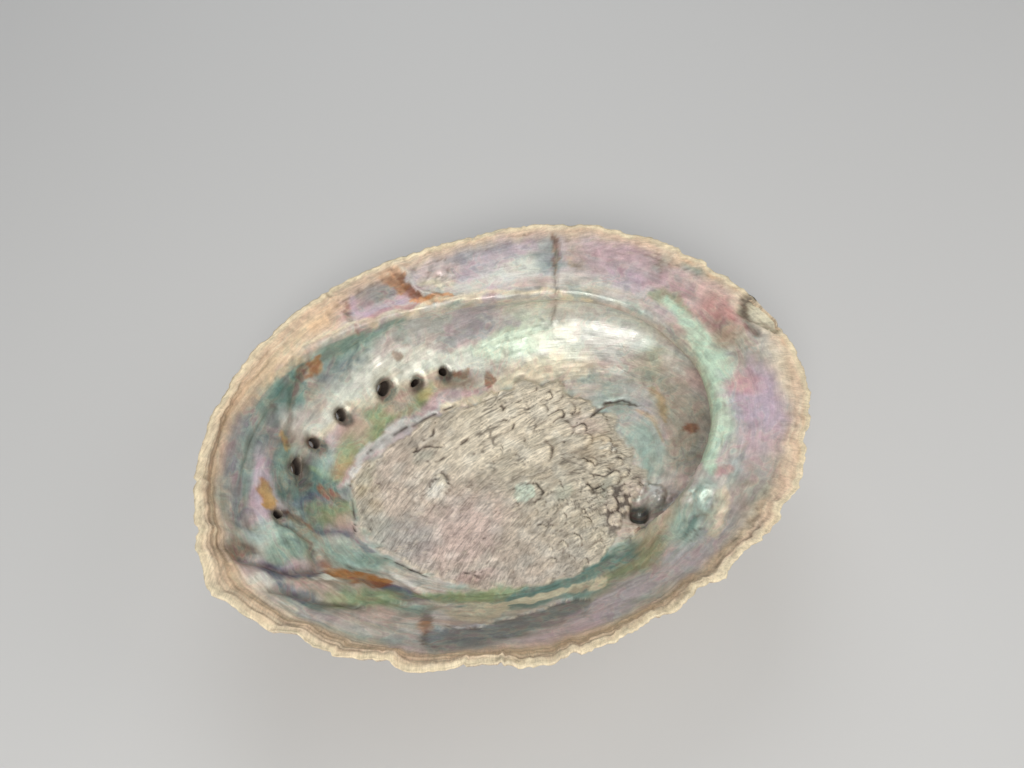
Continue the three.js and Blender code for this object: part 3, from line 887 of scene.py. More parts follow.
def paint_hollow(coat):
    """The bowl's wall from the back round to the right, under the shelf's edge."""
    patch, stroke, fleck, streak = coat.brushes(HOLLOW)
    patch(PEARL, 30, 40, 34, 7, -14, 0.85)
    patch(MINT, 16, 43, 16, 5, -5, 0.6)
    patch(SILVER, 52, 34, 12, 8, -50, 0.8)
    patch(CREAM, 22, 30, 20, 5, -5, 0.65)
    stroke(SEA, [(-54, 43), (-42, 49), (-28, 52), (-22, 52)], 4.6, 0.9, band=(3.6, 9))
    patch(STEEL, -38, 46, 18, 4.5, 16, 0.9)
    streak(PEARL, [(-40, 42.5), (-30, 47), (-24, 48)], 0.9, 0.7)
    stroke(MAUVE, [(-38, 44), (-28, 47), (-12, 48), (4, 47)], 1.8, 0.6)
    stroke(STEEL, [(-18, 52), (-4, 50), (12, 49)], 2.2, 0.65)
    patch(SEA, -36, 51, 9, 3.5, 14, 0.6)
    patch(AQUA, -29, 50, 7, 3, 14, 0.6)
    patch(SILVER, -12, 50, 12, 4, 5, 0.7)
    stroke(MAUVE, [(-44, 40), (-30, 46.5), (-14, 47.5)], 2.0, 0.7)
    stroke(LILAC, [(-6, 50), (8, 50), (22, 47)], 1.8, 0.5)
    stroke(PEARL, [(-60, 27), (-49, 35), (-36, 41.5), (-20, 43), (-5, 42), (4, 39)], 5.0, 0.85)
    stroke(CREAM, [(-60, 24), (-46, 33), (-30, 38), (-10, 39)], 2.2, 0.6)
    stroke(TAUPE, [(-56, 14), (-42, 27), (-26, 33), (-6, 36)], 5.5, 0.9)
    stroke(BROWN, [(-50, 17), (-38, 26), (-24, 31), (-4, 34)], 3.5, 0.3)
    patch(GREEN, -37, 29, 10, 4.5, 28, 0.95)
    patch(GREEN, -49, 20, 8, 3.5, 38, 0.85)
    patch(GREEN, -22, 32, 9, 2.8, 14, 0.8)
    patch(PINK, -47, 26, 6, 4, 30, 0.6)
    patch(PINK, -30, 33, 6, 3, 20, 0.6)
    patch(OCHRE, -17, 33, 6, 2.5, 8, 0.35)
    patch(OCHRE, -54, 13, 5, 3.5, 50, 0.5)
    stroke(MAUVE, [(-57, 8), (-46, 17), (-32, 24.5), (-14, 30), (4, 32)], 2.2, 0.75)
    stroke(TEAL, [(-14, 37), (-9, 37.5), (-6, 36)], 1.4, 0.6)
    patch(TAUPE, -6, 34.5, 9, 3, 2, 0.6)
    fleck(RUST, -5, 38, 3.6, 1.6, 0, 0.75)
    fleck(RUST, 5, 33.5, 1.8, 2.8, 0, 0.8)
    fleck(AMBER, -54, 45, 3.6, 1.8, 35, 0.75)
    fleck(RUST, -59, 43, 2.4, 1.8, 35, 0.6)
    fleck(RUST, -25, 46, 1.8, 1.2, 0, 0.5)
    patch(AQUA, 46, 10, 9, 8, 30, 0.55)
    patch(SILVER, 55, 14, 10, 7, 60, 0.5)
    patch(OLIVE, 62, 17, 6, 8, 60, 0.4)
    patch(TAUPE, 66, -2, 7, 14, 0, 0.6)
    patch(TAUPE, 62, -18, 7, 8, -40, 0.7)
    patch(AQUA, 50, -10, 7, 10, 0, 0.7)
    patch(SEA, 48, -20, 5, 5, 0, 0.4)
    stroke(OCHRE, [(60, 10), (62, 2), (61, -6)], 1.6, 0.45)
    fleck(RUST, 67, -12, 2.6, 2.0, 0, 0.75)
    streak(BROWN, [(38, 9), (45, 9.5), (52, 5)], 0.6, 0.7)
    streak(OCHRE, [(35, 12), (36, 7)], 0.8, 0.6)
    stroke(OCHRE, [(52, 4), (56, -3), (57, -12)], 1.0, 0.4)
    streak(ORANGE, [(26.5, 22.5), (26, 18), (25, 16)], 0.7, 0.85, band=ALL)


def paint_left(coat):
    """The growing end: the folds, stains and blue-green lights inside the left wall."""
    patch, stroke, fleck, streak = coat.brushes(LEFT_WALL)
    stroke(TAUPE, [(-64, 40), (-76, 20), (-80, 0), (-74, -18), (-60, -30)], 15, 0.75)
    patch(STEEL, -66, 4, 16, 12, 20, 0.55)
    patch(LILAC, -82, 12, 22, 7, 88, 0.75)
    stroke(SLATE, [(-68, 44), (-79, 30), (-87, 13), (-89, -5)], 2.6, 0.75, band=(3.2, 9))
    stroke(UMBER, [(-69, 34), (-74, 24), (-75, 14), (-72, 4)], 2.2, 0.45)
    stroke(TEAL, [(-62, 15), (-70, 6), (-70, -3), (-66, -9)], 3.4, 0.6)
    patch(UMBER, -64, 17, 4, 2.6, 40, 0.4)
    patch(UMBER, -74, -9, 5, 2.6, 70, 0.35)
    stroke(SEA, [(-72, 36), (-82, 20), (-86, 4)], 1.8, 0.6, band=(3.2, 9))
    stroke(SEA, [(-56, 47), (-66, 40), (-75, 27)], 4.0, 0.9)
    stroke(TEAL, [(-58, 44), (-66, 37), (-70, 30)], 2.2, 0.8, band=(3.6, 9))
    patch(SLATE, -74, 28, 9, 3.5, 55, 0.8)
    patch(TEAL, -73, 17, 7, 2.2, 70, 0.6)
    patch(SILVER, -64, 31, 6, 4, 50, 0.6)
    patch(SEA, -71, 17, 7, 3, 70, 0.6)
    streak(OCHRE, [(-70, 26), (-71, 20)], 0.9, 0.7)
    fleck(AMBER, -79, 4.5, 2.2, 5.4, 8, 0.8)
    fleck(OCHRE, -79, 3.5, 1.6, 4.6, 8, 0.6)
    patch(TEAL, -64, 8.5, 10, 4.5, 15, 0.9)
    stroke(GREEN, [(-66, 13), (-58, 12), (-52, 9)], 1.6, 0.7)
    patch(AQUA, -60, 15, 5, 3.5, 40, 0.7)
    patch(VIOLET, -70, 2, 3.5, 2.5, 20, 0.55)
    stroke(VIOLET, [(-72, -4), (-67, 1.5), (-61, 4.5)], 2.0, 0.8)
    fleck(RUST, -61.5, 5.5, 3.2, 1.8, -20, 0.8)
    fleck(BROWN, -58, 2.5, 3.2, 1.6, -30, 0.7)
    patch(GREEN, -61, -1.5, 9, 4, 0, 0.85)
    patch(PINK, -59, -4.5, 5, 3, 0, 0.6)
    streak(RUST, [(-75, -1.5), (-72, -5), (-69.5, -12), (-68.5, -20), (-66, -24)], 2.0, 0.95)
    stroke(VIOLET, [(-78, -4.5), (-74.5, -9), (-71.8, -15)], 1.8, 0.85)
    streak(BROWN, [(-74, -2.5), (-71, -7), (-69, -14)], 0.9, 0.8)
    patch(MINT, -76, -13, 7, 8, -30, 0.65)
    patch(AQUA, -82, -9, 7, 4, 0, 0.6)
    patch(SEA, -79, -17, 5, 4, 0, 0.5)
    patch(SEA, -76, -16, 6, 5, -20, 0.6)
    stroke(VIOLET, [(-86, -20), (-80, -24), (-69, -25)], 2.6, 0.85)
    patch(MAUVE, -73, -22, 5, 3, 20, 0.5)
    patch(AQUA, -60, -18, 10, 5.5, -35, 0.9)
    stroke(VIOLET, [(-67, -8), (-60, -11), (-54, -17)], 1.8, 0.6)
    patch(SEA, -53, -22, 6, 3, -30, 0.6)
    patch(PEARL, -62, -13, 5, 2.2, -30, 0.5)
    fleck(PEARL, -66.5, -27, 4.2, 1.7, -15, 0.9)
    streak(AMBER, [(-67, -24), (-63, -26.5), (-58, -28.5), (-51, -31.5)], 2.4, 1.0)
    streak(RUST, [(-61, -28.5), (-56, -30.5), (-50.5, -33)], 1.2, 0.95)
    stroke(VIOLET, [(-53, -34), (-48, -37), (-41, -40.5)], 2.4, 1.0, band=(3.4, 9.2))
    streak(BROWN, [(-44, -38), (-41, -40.5)], 1.0, 0.9, band=(3.4, 9.2))
    patch(PINK, -70, -32, 8, 3, -25, 0.6)
    stroke(VIOLET, [(-82, -28), (-75, -34), (-67, -38)], 2.0, 0.8)
    stroke(TEAL, [(-72, -37), (-62, -39.5), (-52, -40)], 2.2, 0.85)
    patch(GREEN, -57, -37, 12, 3.6, -15, 0.85)
    stroke(SEA, [(-50, -43), (-40, -44)], 2.0, 0.7, band=(3.4, 9.2))
    patch(PINK, -57, -43, 12, 3, -22, 0.6, band=ALL)
    stroke(TEAL, [(-52, -45), (-44, -46), (-38, -46)], 1.4, 0.45, band=ALL)
    patch(BROWN, -89.5, -14, 3.4, 3.6, 0, 0.9, band=(2.4, 9))
    fleck(RUST, -89.5, -16, 1.8, 1.8, 0, 0.7, band=(2.4, 9))
    patch(MAUVE, -88, -20, 4, 4, 0, 0.5, band=(2.4, 9))


def paint_near(coat, marks):
    """The steep near wall below the scar, and the wide band inside the near lip."""
    patch, stroke, fleck, streak = coat.brushes(ALL)
    stroke(GREEN, [(-42, -38), (-28, -42.5), (-14, -46), (0, -48)], 3.6, 0.95)
    stroke(TAUPE, [(-40, -44), (-20, -52), (0, -55), (20, -54)], 5, 0.4)
    stroke(SEA, [(-10, -48), (8, -49.5), (22, -47.5), (34, -42)], 5.2, 0.95)
    stroke(TEAL, [(-14, -49), (0, -50), (14, -50.5), (30, -46.5)], 4.4, 1.0)
    stroke(TEAL, [(-32, -47), (-20, -50), (-6, -53)], 2.4, 0.8)
    stroke(MINT, [(-20, -40.5), (-2, -43), (10, -43)], 0.9, 0.6)
    patch(AQUA, 4, -52, 12, 4, 3, 0.45)
    stroke(OLIVE, [(14, -54), (28, -52), (38, -46), (44, -40)], 3.4, 0.75)
    patch(BROWN, 34, -50, 9, 2, 32, 0.3)
    streak(CREAM, [(24, -53), (36, -51), (46, -45)], 0.7, 0.6)
    patch(GREEN, 22, -55, 13, 3, 18, 0.6)
    streak(CREAM, [(-24, -48), (-10, -50.5), (4, -52), (14, -52)], 1.2, 0.7)
    fleck(CREAM, -27, -50, 9, 4, -10, 0.7)
    patch(TAUPE, -30, -52, 8, 3, -8, 0.5)
    patch(STEEL, -34, -60, 14, 5, -12, 0.6)
    coat.wash(SLATE, 0.9 * marks["slate"])
    edge = bell(marks["slate"] - 0.5, 0.25)
    coat.wash(CREAM, 0.45 * edge * marks["slate_upper"] * (coat.skin.level > 5.0))
    fleck(BROWN, -43, -50, 2, 4, 0, 0.65)
    fleck(ORANGE, -44, -52, 2.4, 2.4, 0, 0.4)
    patch(STEEL, -41, -55, 3, 3, 0, 0.6)
    fleck(CREAM, 12, -54, 4, 1.8, 5, 0.7)
    fleck(BROWN, 6, -53, 5, 1.2, 0, 0.35)
    patch(LILAC, 18, -62, 22, 5, 14, 0.6)
    patch(LILAC, 46, -58, 16, 4, 38, 0.5)
    patch(MAUVE, -10, -67, 20, 3.5, 2, 0.35)


def paint_scar(coat, marks):
    """The chalky muscle scar: tongues in cream and tan, pink and grey grain, a few insets."""
    wash = coat.wash
    patch, _, fleck, streak = coat.brushes(SCAR_FACE)
    scar, right = marks["scar"], marks["right"]
    wash(CHALK, scar)
    wash(TAN, scar * (0.25 + 0.55 * smooth(-0.1, 0.9, marks["shade"])))
    wash(PINK, scar * (1 - right) * 0.38)
    wash(TAUPE, scar * 0.5 * smooth(0.0, 0.6, noise(coat.skin.points * [0.7, 1.3, 1], 3.2, 113)))
    wash(TAUPE, scar * 0.45 * smooth(-0.2, 0.7, noise(coat.skin.points, 9, 95)))
    wash(CREAM, scar * right * 0.8 * smooth(0.2, 0.9, marks["tongue"]))
    patch(PINK, -24, -19, 17, 11, 20, 0.5)
    patch(ROSE, -25, -36, 8, 2.2, -12, 0.4)
    patch(STEEL, -42, -17, 9, 9, 40, 0.4)
    patch(SEA, -50, -6, 5, 12, 10, 0.35)
    patch(GREEN, -48, 10, 8, 3, 40, 0.35)
    patch(OCHRE, -50, 3, 4, 6, 20, 0.35)
    patch(CREAM, 2, 14, 30, 9, 14, 0.75)
    patch(SEA, -27, 13, 4, 2.4, 20, 0.3)
    fleck(MINT, 2.5, -11.5, 4.4, 3.2, 30, 0.75)
    patch(PEARL, -26, -0.5, 4.4, 3.0, 40, 0.6)
    fleck(PEARL, 37, -7, 3.0, 1.4, -12, 0.8)
    patch(OCHRE, 33, -5, 7, 7, 0, 0.3)
    patch(PINK, 33, 6, 7, 4, -30, 0.35)
    patch(SEA, 30, -21, 4, 6, 0, 0.3)
    patch(MINT, 15, -16, 4, 3, 0, 0.3)
    streak(SILVER, [(-56, 8), (-46, 18.5), (-32, 25), (-16, 28.5)], 1.5, 0.85, band=ALL)
    streak(CREAM, [(-16, 27.5), (0, 28), (14, 27)], 1.2, 0.7, band=ALL)
    wash(PINK, marks["knobs"] * 0.25)
    wash(STEEL, bell(length_of(coat.torn_xy - [43, -30]), 4) * 0.6)
    wash(CREAM, bell(length_of(coat.torn_xy - [33, -40]), 6) * 0.5)


def paint_inside(skin, marks):
    """All colour of the inner face, ending with the lip, painted shade in low places and painted
    highlight on ridges.
    """
    coat = Coat(skin, shade_of(206, 200, 192))
    wash = coat.wash
    paint_nacre(coat)
    paint_left(coat)
    paint_near(coat, marks)
    paint_hollow(coat)
    paint_shelf(coat)
    paint_scar(coat, marks)
    wash(PEARL, 0.2 * marks["scar"] * smooth(-0.1, 0.5, noise(skin.points, 5, 112)))
    coat.deepen(1.22, 1.22 - 0.42 * marks["scar"][..., None])
    near = bell(turn_gap(skin.turn, 262), 62) + 0.6 * bell(turn_gap(skin.turn, 175), 40)
    band = skin.depth + 1.8 * noise(skin.points, 9, 96) + 0.8 * noise(skin.points, 3, 97)
    width = 3.5 + 6.5 * near
    wash(PEACH, 0.85 * smooth(width + 4, width - 1.5, band))
    wash(CREAM, 0.6 * smooth(0.0, 0.6, noise(skin.round_coords(14, 1), 1, 98))
         * smooth(width + 3, width - 2, band))
    wash(SHELL_ORANGE, 0.55 * smooth(3.2, 1.4, skin.depth + 1.2 * noise(skin.points, 5, 99))
         * smooth(-0.3, 0.5, noise(skin.points, 14, 100)))
    crest = smooth(2.6 + 3.0 * near, 0.6, skin.depth + 0.8 * noise(skin.points, 4, 114))
    wash(shade_of(244, 228, 192), 0.9 * crest)
    wash(OCHRE, 0.45 * near * bell(skin.depth - 7, 3.5))
    wash(shade_of(222, 216, 190), 0.9 * marks["chip"])
    wash(OLIVE, 0.3 * marks["chip"] * smooth(-0.2, 0.4, noise(skin.points, 3, 111)))
    # painted shadow: umber along the curled crease beside the flake
    wash(UMBER, 0.85 * marks["crease"])
    wash(SILVER, 0.7 * marks["knob"])
    # painted shade: brown and umber in the funnels round the breathing holes
    wash(BROWN, 0.5 * smooth(0.05, 0.9, marks["funnel"]))
    wash(UMBER, 0.75 * smooth(0.5, 1.0, marks["funnel"]))
    # painted shade: brown laid into the low places of the relief
    wash(BROWN, 0.55 * smooth(0.04, 0.4, marks["cavity"]))
    # painted highlight: cream laid on the ridges of the scar and the rim
    ridge = smooth(0.05, 0.4, -marks["cavity"])
    wash(CREAM, 0.5 * ridge * np.maximum(marks["scar"], marks["rim"]))
    # painted shade: near black in the hole where the spire starts
    wash(shade_of(30, 24, 22), 0.93 * smooth(0.1, 0.8, marks["hole"]))
    # painted shade: umber in the cracks, the gaps between tongues and between the knobs
    wash(UMBER, 0.88 * marks["crack"])
    return coat.colour


def paint_outside(skin, marks):
    """Dull brown, olive and chalk along the growth lines; the photo doesn't show this side."""
    coat = Coat(skin, BRICK)
    wash = coat.wash
    points, age = skin.points, marks["age"]
    drawn = np.stack([age * GROWTH_SPAN, 0.12 * points[..., 0], 0.12 * points[..., 1]], axis=-1)
    wash(OLIVE, 0.75 * smooth(-0.1, 0.5, noise(drawn, 5, 101)))
    wash(TAUPE, 0.6 * smooth(0.0, 0.6, noise(points, 16, 102)))
    wash(PEACH, 0.6 * smooth(0.1, 0.6, noise(drawn, 2.2, 103)))
    wash(BROWN, 0.5 * smooth(0.2, 0.7, -marks["ridges"]))
    wash(CHALK, 0.8 * smooth(0.15, 0.45, noise(points, 12, 104) + 0.35 * coat.speckle))
    wash(CREAM, 0.3 * smooth(0.3, 1.0, marks["cords"]))
    wash(CHALK, 0.6 * bell(marks["spire"], 16))
    wash(SEA, 0.35 * bell(marks["spire"], 9))
    wash(CREAM, 0.4 * marks["tubes"])
    # painted shade in the low places of the relief and painted highlight on its ridges
    wash(UMBER, 0.6 * smooth(0.05, 0.5, marks["cavity"]))
    wash(CREAM, 0.45 * smooth(0.08, 0.5, -marks["cavity"]))
    edge = skin.depth + 1.5 * noise(points, 6, 105)
    wash(PEACH, 0.8 * smooth(12, 5, edge))
    wash(CREAM, 0.7 * smooth(4, 1, edge))
    return coat.colour


# ---------- one closed mesh

# What kind of place a vertex is; a brink is where the cut of a hole meets a face.
INSIDE, OUTSIDE, LIP, INNER_BRINK, OUTER_BRINK, BORE = range(6)
OUTSIDE_FLOW = 90.0         # the whole growth of the shell, in the units of the fine lines
STAYED, ON_TOOL = 0.01, 0.02    # gaps up to which a cut vertex is an old one, or a tool's


def vertex_fields(skin, marks, colour, region):
    """Everything a vertex carries, one row for each point of the grid."""
    angle = np.radians(skin.turn)
    flow = np.stack([np.cos(angle) * RIM_ROUND, np.sin(angle) * RIM_ROUND, skin.depth], axis=-1)
    along, across = scar_coords(skin.points[..., :2])
    grain = np.stack([along, across, 0 * along], axis=-1)
    share = skin.depth / skin.depth[:, -1:]
    disc = (1 - share)[..., None] * np.stack([np.cos(angle), np.sin(angle)], axis=-1)
    if region == INSIDE:
        chalk = marks["scar"]
        nacre = (1 - chalk) * (1 - 0.6 * marks["rim"]) * (1 - marks["crack"])
        chalk = np.maximum(chalk, 0.45 * marks["rim"])
    else:
        flow[..., 2] = marks["age"] * OUTSIDE_FLOW
        chalk = np.full(skin.level.shape, 0.8)
        nacre = 0 * chalk
    masks = np.stack([nacre, chalk, 0 * chalk], axis=-1)
    kind = np.full(skin.level.shape + (1,), float(region))
    return np.concatenate([skin.points, colour, masks, flow, grain, disc, kind], axis=-1)


SLICES = {"place": slice(0, 3), "tint": slice(3, 6), "masks": slice(6, 9), "flow": slice(9, 12),
          "grain": slice(12, 15), "disc": slice(15, 17), "kind": slice(17, 18)}


def add_object(name, data):
    thing = bpy.data.objects.new(name, data)
    bpy.context.collection.objects.link(thing)
    return thing


def mesh_of(name, corners, faces):
    mesh = bpy.data.meshes.new(name)
    mesh.from_pydata(corners, [], faces)
    return mesh


def grid_faces(number, steps, turned):
    """Faces between rows of vertex numbers; steps says how many columns each row skips."""
    faces = []
    for row in range(len(steps) - 1):
        here, there = steps[row], steps[row + 1]
        for i in range(0, COLUMNS, there):
            a = number[i, row]
            b = number[(i + there) % COLUMNS, row]
            d, c = number[i, row + 1], number[(i + there) % COLUMNS, row + 1]
            if here == there:
                faces.append((a, b, c, d))
            else:
                middle = number[i + here, row]
                faces += [(a, middle, d), (middle, c, d), (middle, b, c)]
    last = len(steps) - 1
    for i in range(0, COLUMNS, steps[last]):
        beside = number[(i + steps[last]) % COLUMNS, last]
        faces.append((number[i, last], beside, number[0, last + 1]))
    return [face[::-1] for face in faces] if turned else faces


def number_grid(rows, halve, first):
    """Vertex numbers for a grid that thins out towards its middle, and each row's step."""
    number = np.zeros((COLUMNS, rows), int)
    steps = []
    count = first
    for row in range(rows - 1):
        step = 2 ** sum(row > at for at in halve)
        steps.append(step)
        size = COLUMNS // step
        number[::step, row] = np.arange(count, count + size)
        count += size
    number[0, rows - 1] = count
    return number, steps, count + 1


def close_underside(skin):
    """Carries the outside on over the flat it rests on, in rows that shrink to the middle."""
    ring_points = skin.points[:, -1]
    middle = np.array([MIDDLE[0] + REST_SHIFT[0], MIDDLE[1] + REST_SHIFT[1], 0.0])
    for share in REST_SHARES:
        row = middle + share * (ring_points - middle)
        row[:, 2] = 0.05 + 0.2 * np.abs(noise(row, 5, 110)) * (share > 0)
        skin.points = np.concatenate([skin.points, row[:, None]], axis=1)
        step = np.linalg.norm(skin.points[:, -1] - skin.points[:, -2], axis=1)
        skin.depth = np.concatenate([skin.depth, (skin.depth[:, -1] + step)[:, None]], axis=1)
        skin.turn = np.concatenate([skin.turn, skin.turn[:, -1:]], axis=1)
        skin.level = np.concatenate([skin.level, skin.level[:, -1:]], axis=1)


def shell_mesh(inner, outer):
    """Both faces as one closed mesh, joined along the lip, with its rows of fields."""
    halve_outer = HALVE_OUTER + [outer.shape[1] - len(REST_SHARES)]
    number, steps, count = number_grid(inner.shape[1], HALVE_INNER, 0)
    faces = grid_faces(number, steps, False)
    fields = np.zeros((count, inner.shape[2]))
    for row in range(inner.shape[1]):
        step = steps[row] if row < len(steps) else COLUMNS
        fields[number[::step, row]] = inner[::step, row]
    fields[number[:, 0], SLICES["kind"]] = LIP
    below, steps, total = number_grid(outer.shape[1] - 1, [at - 1 for at in halve_outer], count)
    below = np.concatenate([number[:, :1], below], axis=1)
    steps = [1] + steps
    faces += grid_faces(below, steps, True)
    fields = np.concatenate([fields, np.zeros((total - count, outer.shape[2]))])
    for row in range(1, outer.shape[1]):
        step = steps[row] if row < len(steps) else COLUMNS
        fields[below[::step, row]] = outer[::step, row]
    corners = (fields[:, SLICES["place"]] * MM).tolist()
    faces = [[int(i) for i in face] for face in faces]
    return mesh_of("abalone_shell_skin", corners, faces), fields


# ---------- breathing holes

def pore_frame(x, y):
    """Axis and two cross directions of a hole that runs out and down through the wall."""
    away = np.array([x, y]) - MIDDLE
    away = away / np.linalg.norm(away)
    axis = np.array([*(away * math.cos(PORE_DIP)), -math.sin(PORE_DIP)])
    beside = np.array([-away[1], away[0], 0.0])
    return axis, beside, np.cross(axis, beside)


def pore_start(x, y):
    """A point of a hole's axis, just above the inner face."""
    gap = length_of(inside.points[..., :2] - [x, y]) + 100 * (inside.level < 4)
    column, row = np.unravel_index(np.argmin(gap), gap.shape)
    return np.array([x, y, inside.points[column, row, 2] + 1.2])


def round_pore(points, x, y):
    """How far along a hole's axis and how far off it points are, and their turn about it."""
    axis, beside, other = pore_frame(x, y)
    away = points - pore_start(x, y)
    along = away @ axis
    side = length_of(away - along[:, None] * axis)
    return along, side, np.arctan2(away @ other, away @ beside) / (2 * math.pi) + 0.5


def pore_tool(index, x, y, width, stretch):
    """A wavy, flared plug in the shape of one breathing hole."""
    axis, beside, other = pore_frame(x, y)
    start = pore_start(x, y)
    vertices, faces = [], []
    stations = np.concatenate([[-4.5, -1.0, 0.0, 0.8, 1.6, 2.6], np.arange(4, 24, 1.6)])
    upwards = np.array([*(axis[:2] * math.tan(PORE_DIP)), math.cos(PORE_DIP)])
    for at in stations:
        flare = PORE_FLARE * math.exp(-max(at, 0) / 1.2)
        radius = width / 2 * (1 + flare - 0.4 * smooth(3, 9, at))
        for k in range(PORE_SIDES):
            turn = 2 * math.pi * k / PORE_SIDES
            wobble = 1 + 0.08 * math.sin(2 * turn + index)
            wobble += 0.05 * math.sin(3 * turn + 2 * index + 0.3 * at)
            reach = radius * wobble
            side = reach * stretch * math.cos(turn) * beside + reach * math.sin(turn) * other
            bend = PORE_BEND * max(at - 1, 0) ** 2 * upwards
            vertices.append(start + at * axis + bend + side)
    rings = len(stations)
    for r in range(rings - 1):
        for k in range(PORE_SIDES):
            n = (k + 1) % PORE_SIDES
            here, there = r * PORE_SIDES, (r + 1) * PORE_SIDES
            faces.append((here + k, here + n, there + n, there + k))
    faces.append(tuple(range(PORE_SIDES))[::-1])
    faces.append(tuple((rings - 1) * PORE_SIDES + k for k in range(PORE_SIDES)))
    return vertices, faces


def cut_pores(piece):
    """Cuts every breathing hole through the shell; returns the tools' own vertices."""
    vertices, faces = [], []
    for index, (x, y, width, stretch) in enumerate(PORES):
        more, sides = pore_tool(index, x, y, width, stretch)
        faces += [tuple(len(vertices) + i for i in face) for face in sides]
        vertices += more
    corners = [tuple(v * MM) for v in vertices]
    tool = add_object("pore_tools", mesh_of("pore_tools", corners, faces))
    turn_outwards(tool.data)
    cut = piece.modifiers.new("pores", "BOOLEAN")
    cut.operation, cut.solver, cut.object = "DIFFERENCE", "MANIFOLD", tool
    graph = bpy.context.evaluated_depsgraph_get()
    result = bpy.data.meshes.new_from_object(piece.evaluated_get(graph))
    piece.modifiers.clear()
    piece.data = result
    bpy.data.objects.remove(tool)
    return np.array(vertices)


def turn_outwards(mesh):
    """Turns every face to look out of its closed body."""
    corners = np.array([v.co[:] for v in mesh.vertices])
    volume = 0.0
    for face in mesh.polygons:
        ids = list(face.vertices)
        for b, c in zip(ids[1:-1], ids[2:]):
            volume += np.dot(corners[ids[0]], np.cross(corners[b], corners[c]))
    if volume < 0:
        mesh.flip_normals()


def nearest(points, others):
    """Which of the others is nearest to each point, and how far off it is."""
    tree = KDTree(len(others))
    for index, place_of in enumerate(others):
        tree.insert(place_of, index)
    tree.balance()
    found = [tree.find(place_of) for place_of in points]
    return np.array([hit[1] for hit in found]), np.array([hit[2] for hit in found])


def carry_fields(mesh, fields, tools):
    """Fields for the cut mesh: kept where a vertex stayed, borrowed or new along the holes."""
    points = np.empty(len(mesh.vertices) * 3)
    mesh.vertices.foreach_get("co", points)
    points = points.reshape(-1, 3) / MM
    source, gap = nearest(points, fields[:, SLICES["place"]])
    new = fields[source].copy()
    new[:, SLICES["place"]] = points
    cut = np.flatnonzero(gap > STAYED)
    on_tool = nearest(points[cut], tools)[1] < ON_TOOL
    kind = new[cut, SLICES["kind"]][:, 0]
    kind = np.where(on_tool, BORE, np.where(kind == OUTSIDE, OUTER_BRINK, INNER_BRINK))
    new[cut, SLICES["kind"]] = kind[:, None]
    bore = cut[on_tool]
    depth = np.zeros(len(bore))
    for x, y, _, _ in PORES:
        along, side, _ = round_pore(points[bore], x, y)
        depth = np.where(side < PORE_AROUND, along, depth)
    # painted shade: each bore's wall goes from taupe to umber deeper into the hole
    dark = smooth(-0.5, 2.5, depth)[:, None]
    new[bore, SLICES["tint"]] = TAUPE + dark * (UMBER - TAUPE)
    new[bore, SLICES["masks"]] = [0.0, 0.7, 0.0]
    return new


# Places on the texture: both discs' middles and radii, and the strips for the holes.
INNER_DISC, INNER_RADIUS = 0.36, 0.35
OUTER_DISC, OUTER_RADIUS = 0.80, 0.19
STRIP_CORNER, STRIP_SIZE, STRIP_STEP = [0.76, 0.02], [0.03, 0.2], [0.034, 0]
STRIP_LENGTH = 26.0         # length of a hole that fills a strip


def unwrap(mesh, fields):
    """Two discs, the inner face large and the outer one small, and a strip for the holes."""
    kind = fields[:, SLICES["kind"]][:, 0].astype(int)
    disc = fields[:, SLICES["disc"]]
    points = fields[:, SLICES["place"]]
    inner = INNER_DISC + INNER_RADIUS * disc
    outer = OUTER_DISC + OUTER_RADIUS * disc * [1, -1]
    best = np.full(len(points), 1e9)
    strip = np.zeros((len(points), 2))
    slot_of = np.zeros(len(points))
    for index, (x, y, _, _) in enumerate(PORES):
        along, side, turn = round_pore(points, x, y)
        near = side < best
        best = np.where(near, side, best)
        slot_of = np.where(near, index, slot_of)
        on_strip = np.stack([turn, along / STRIP_LENGTH + 0.2], axis=1)
        strip = np.where(near[:, None], on_strip, strip)
    layer = mesh.uv_layers.new(name="OFBake")
    uv = np.zeros((len(mesh.loops), 2))
    for face in mesh.polygons:
        ids = list(face.vertices)
        kinds = {kind[i] for i in ids}
        loops = list(face.loop_indices)
        if kinds <= {INSIDE, LIP, INNER_BRINK}:
            uv[loops] = inner[ids]
        elif kinds <= {OUTSIDE, LIP, OUTER_BRINK}:
            uv[loops] = outer[ids]
        else:
            part = strip[ids].copy()
            if np.ptp(part[:, 0]) > 0.5:
                part[:, 0] += part[:, 0] < 0.5
            shift = slot_of[ids[0]] * np.array(STRIP_STEP)
            uv[loops] = STRIP_CORNER + STRIP_SIZE * part + shift
    layer.uv.foreach_set("vector", uv.ravel())


def store(mesh, name, kind, values):
    """Keeps one value for each vertex as an attribute that the material can read."""
    field = mesh.attributes.new(name, kind, "POINT")
    field.data.foreach_set("color" if kind == "FLOAT_COLOR" else "vector", values.ravel())


# How far down each face the broken lip still shows.
INNER_FADE, OUTER_FADE = 9.0, 11.0


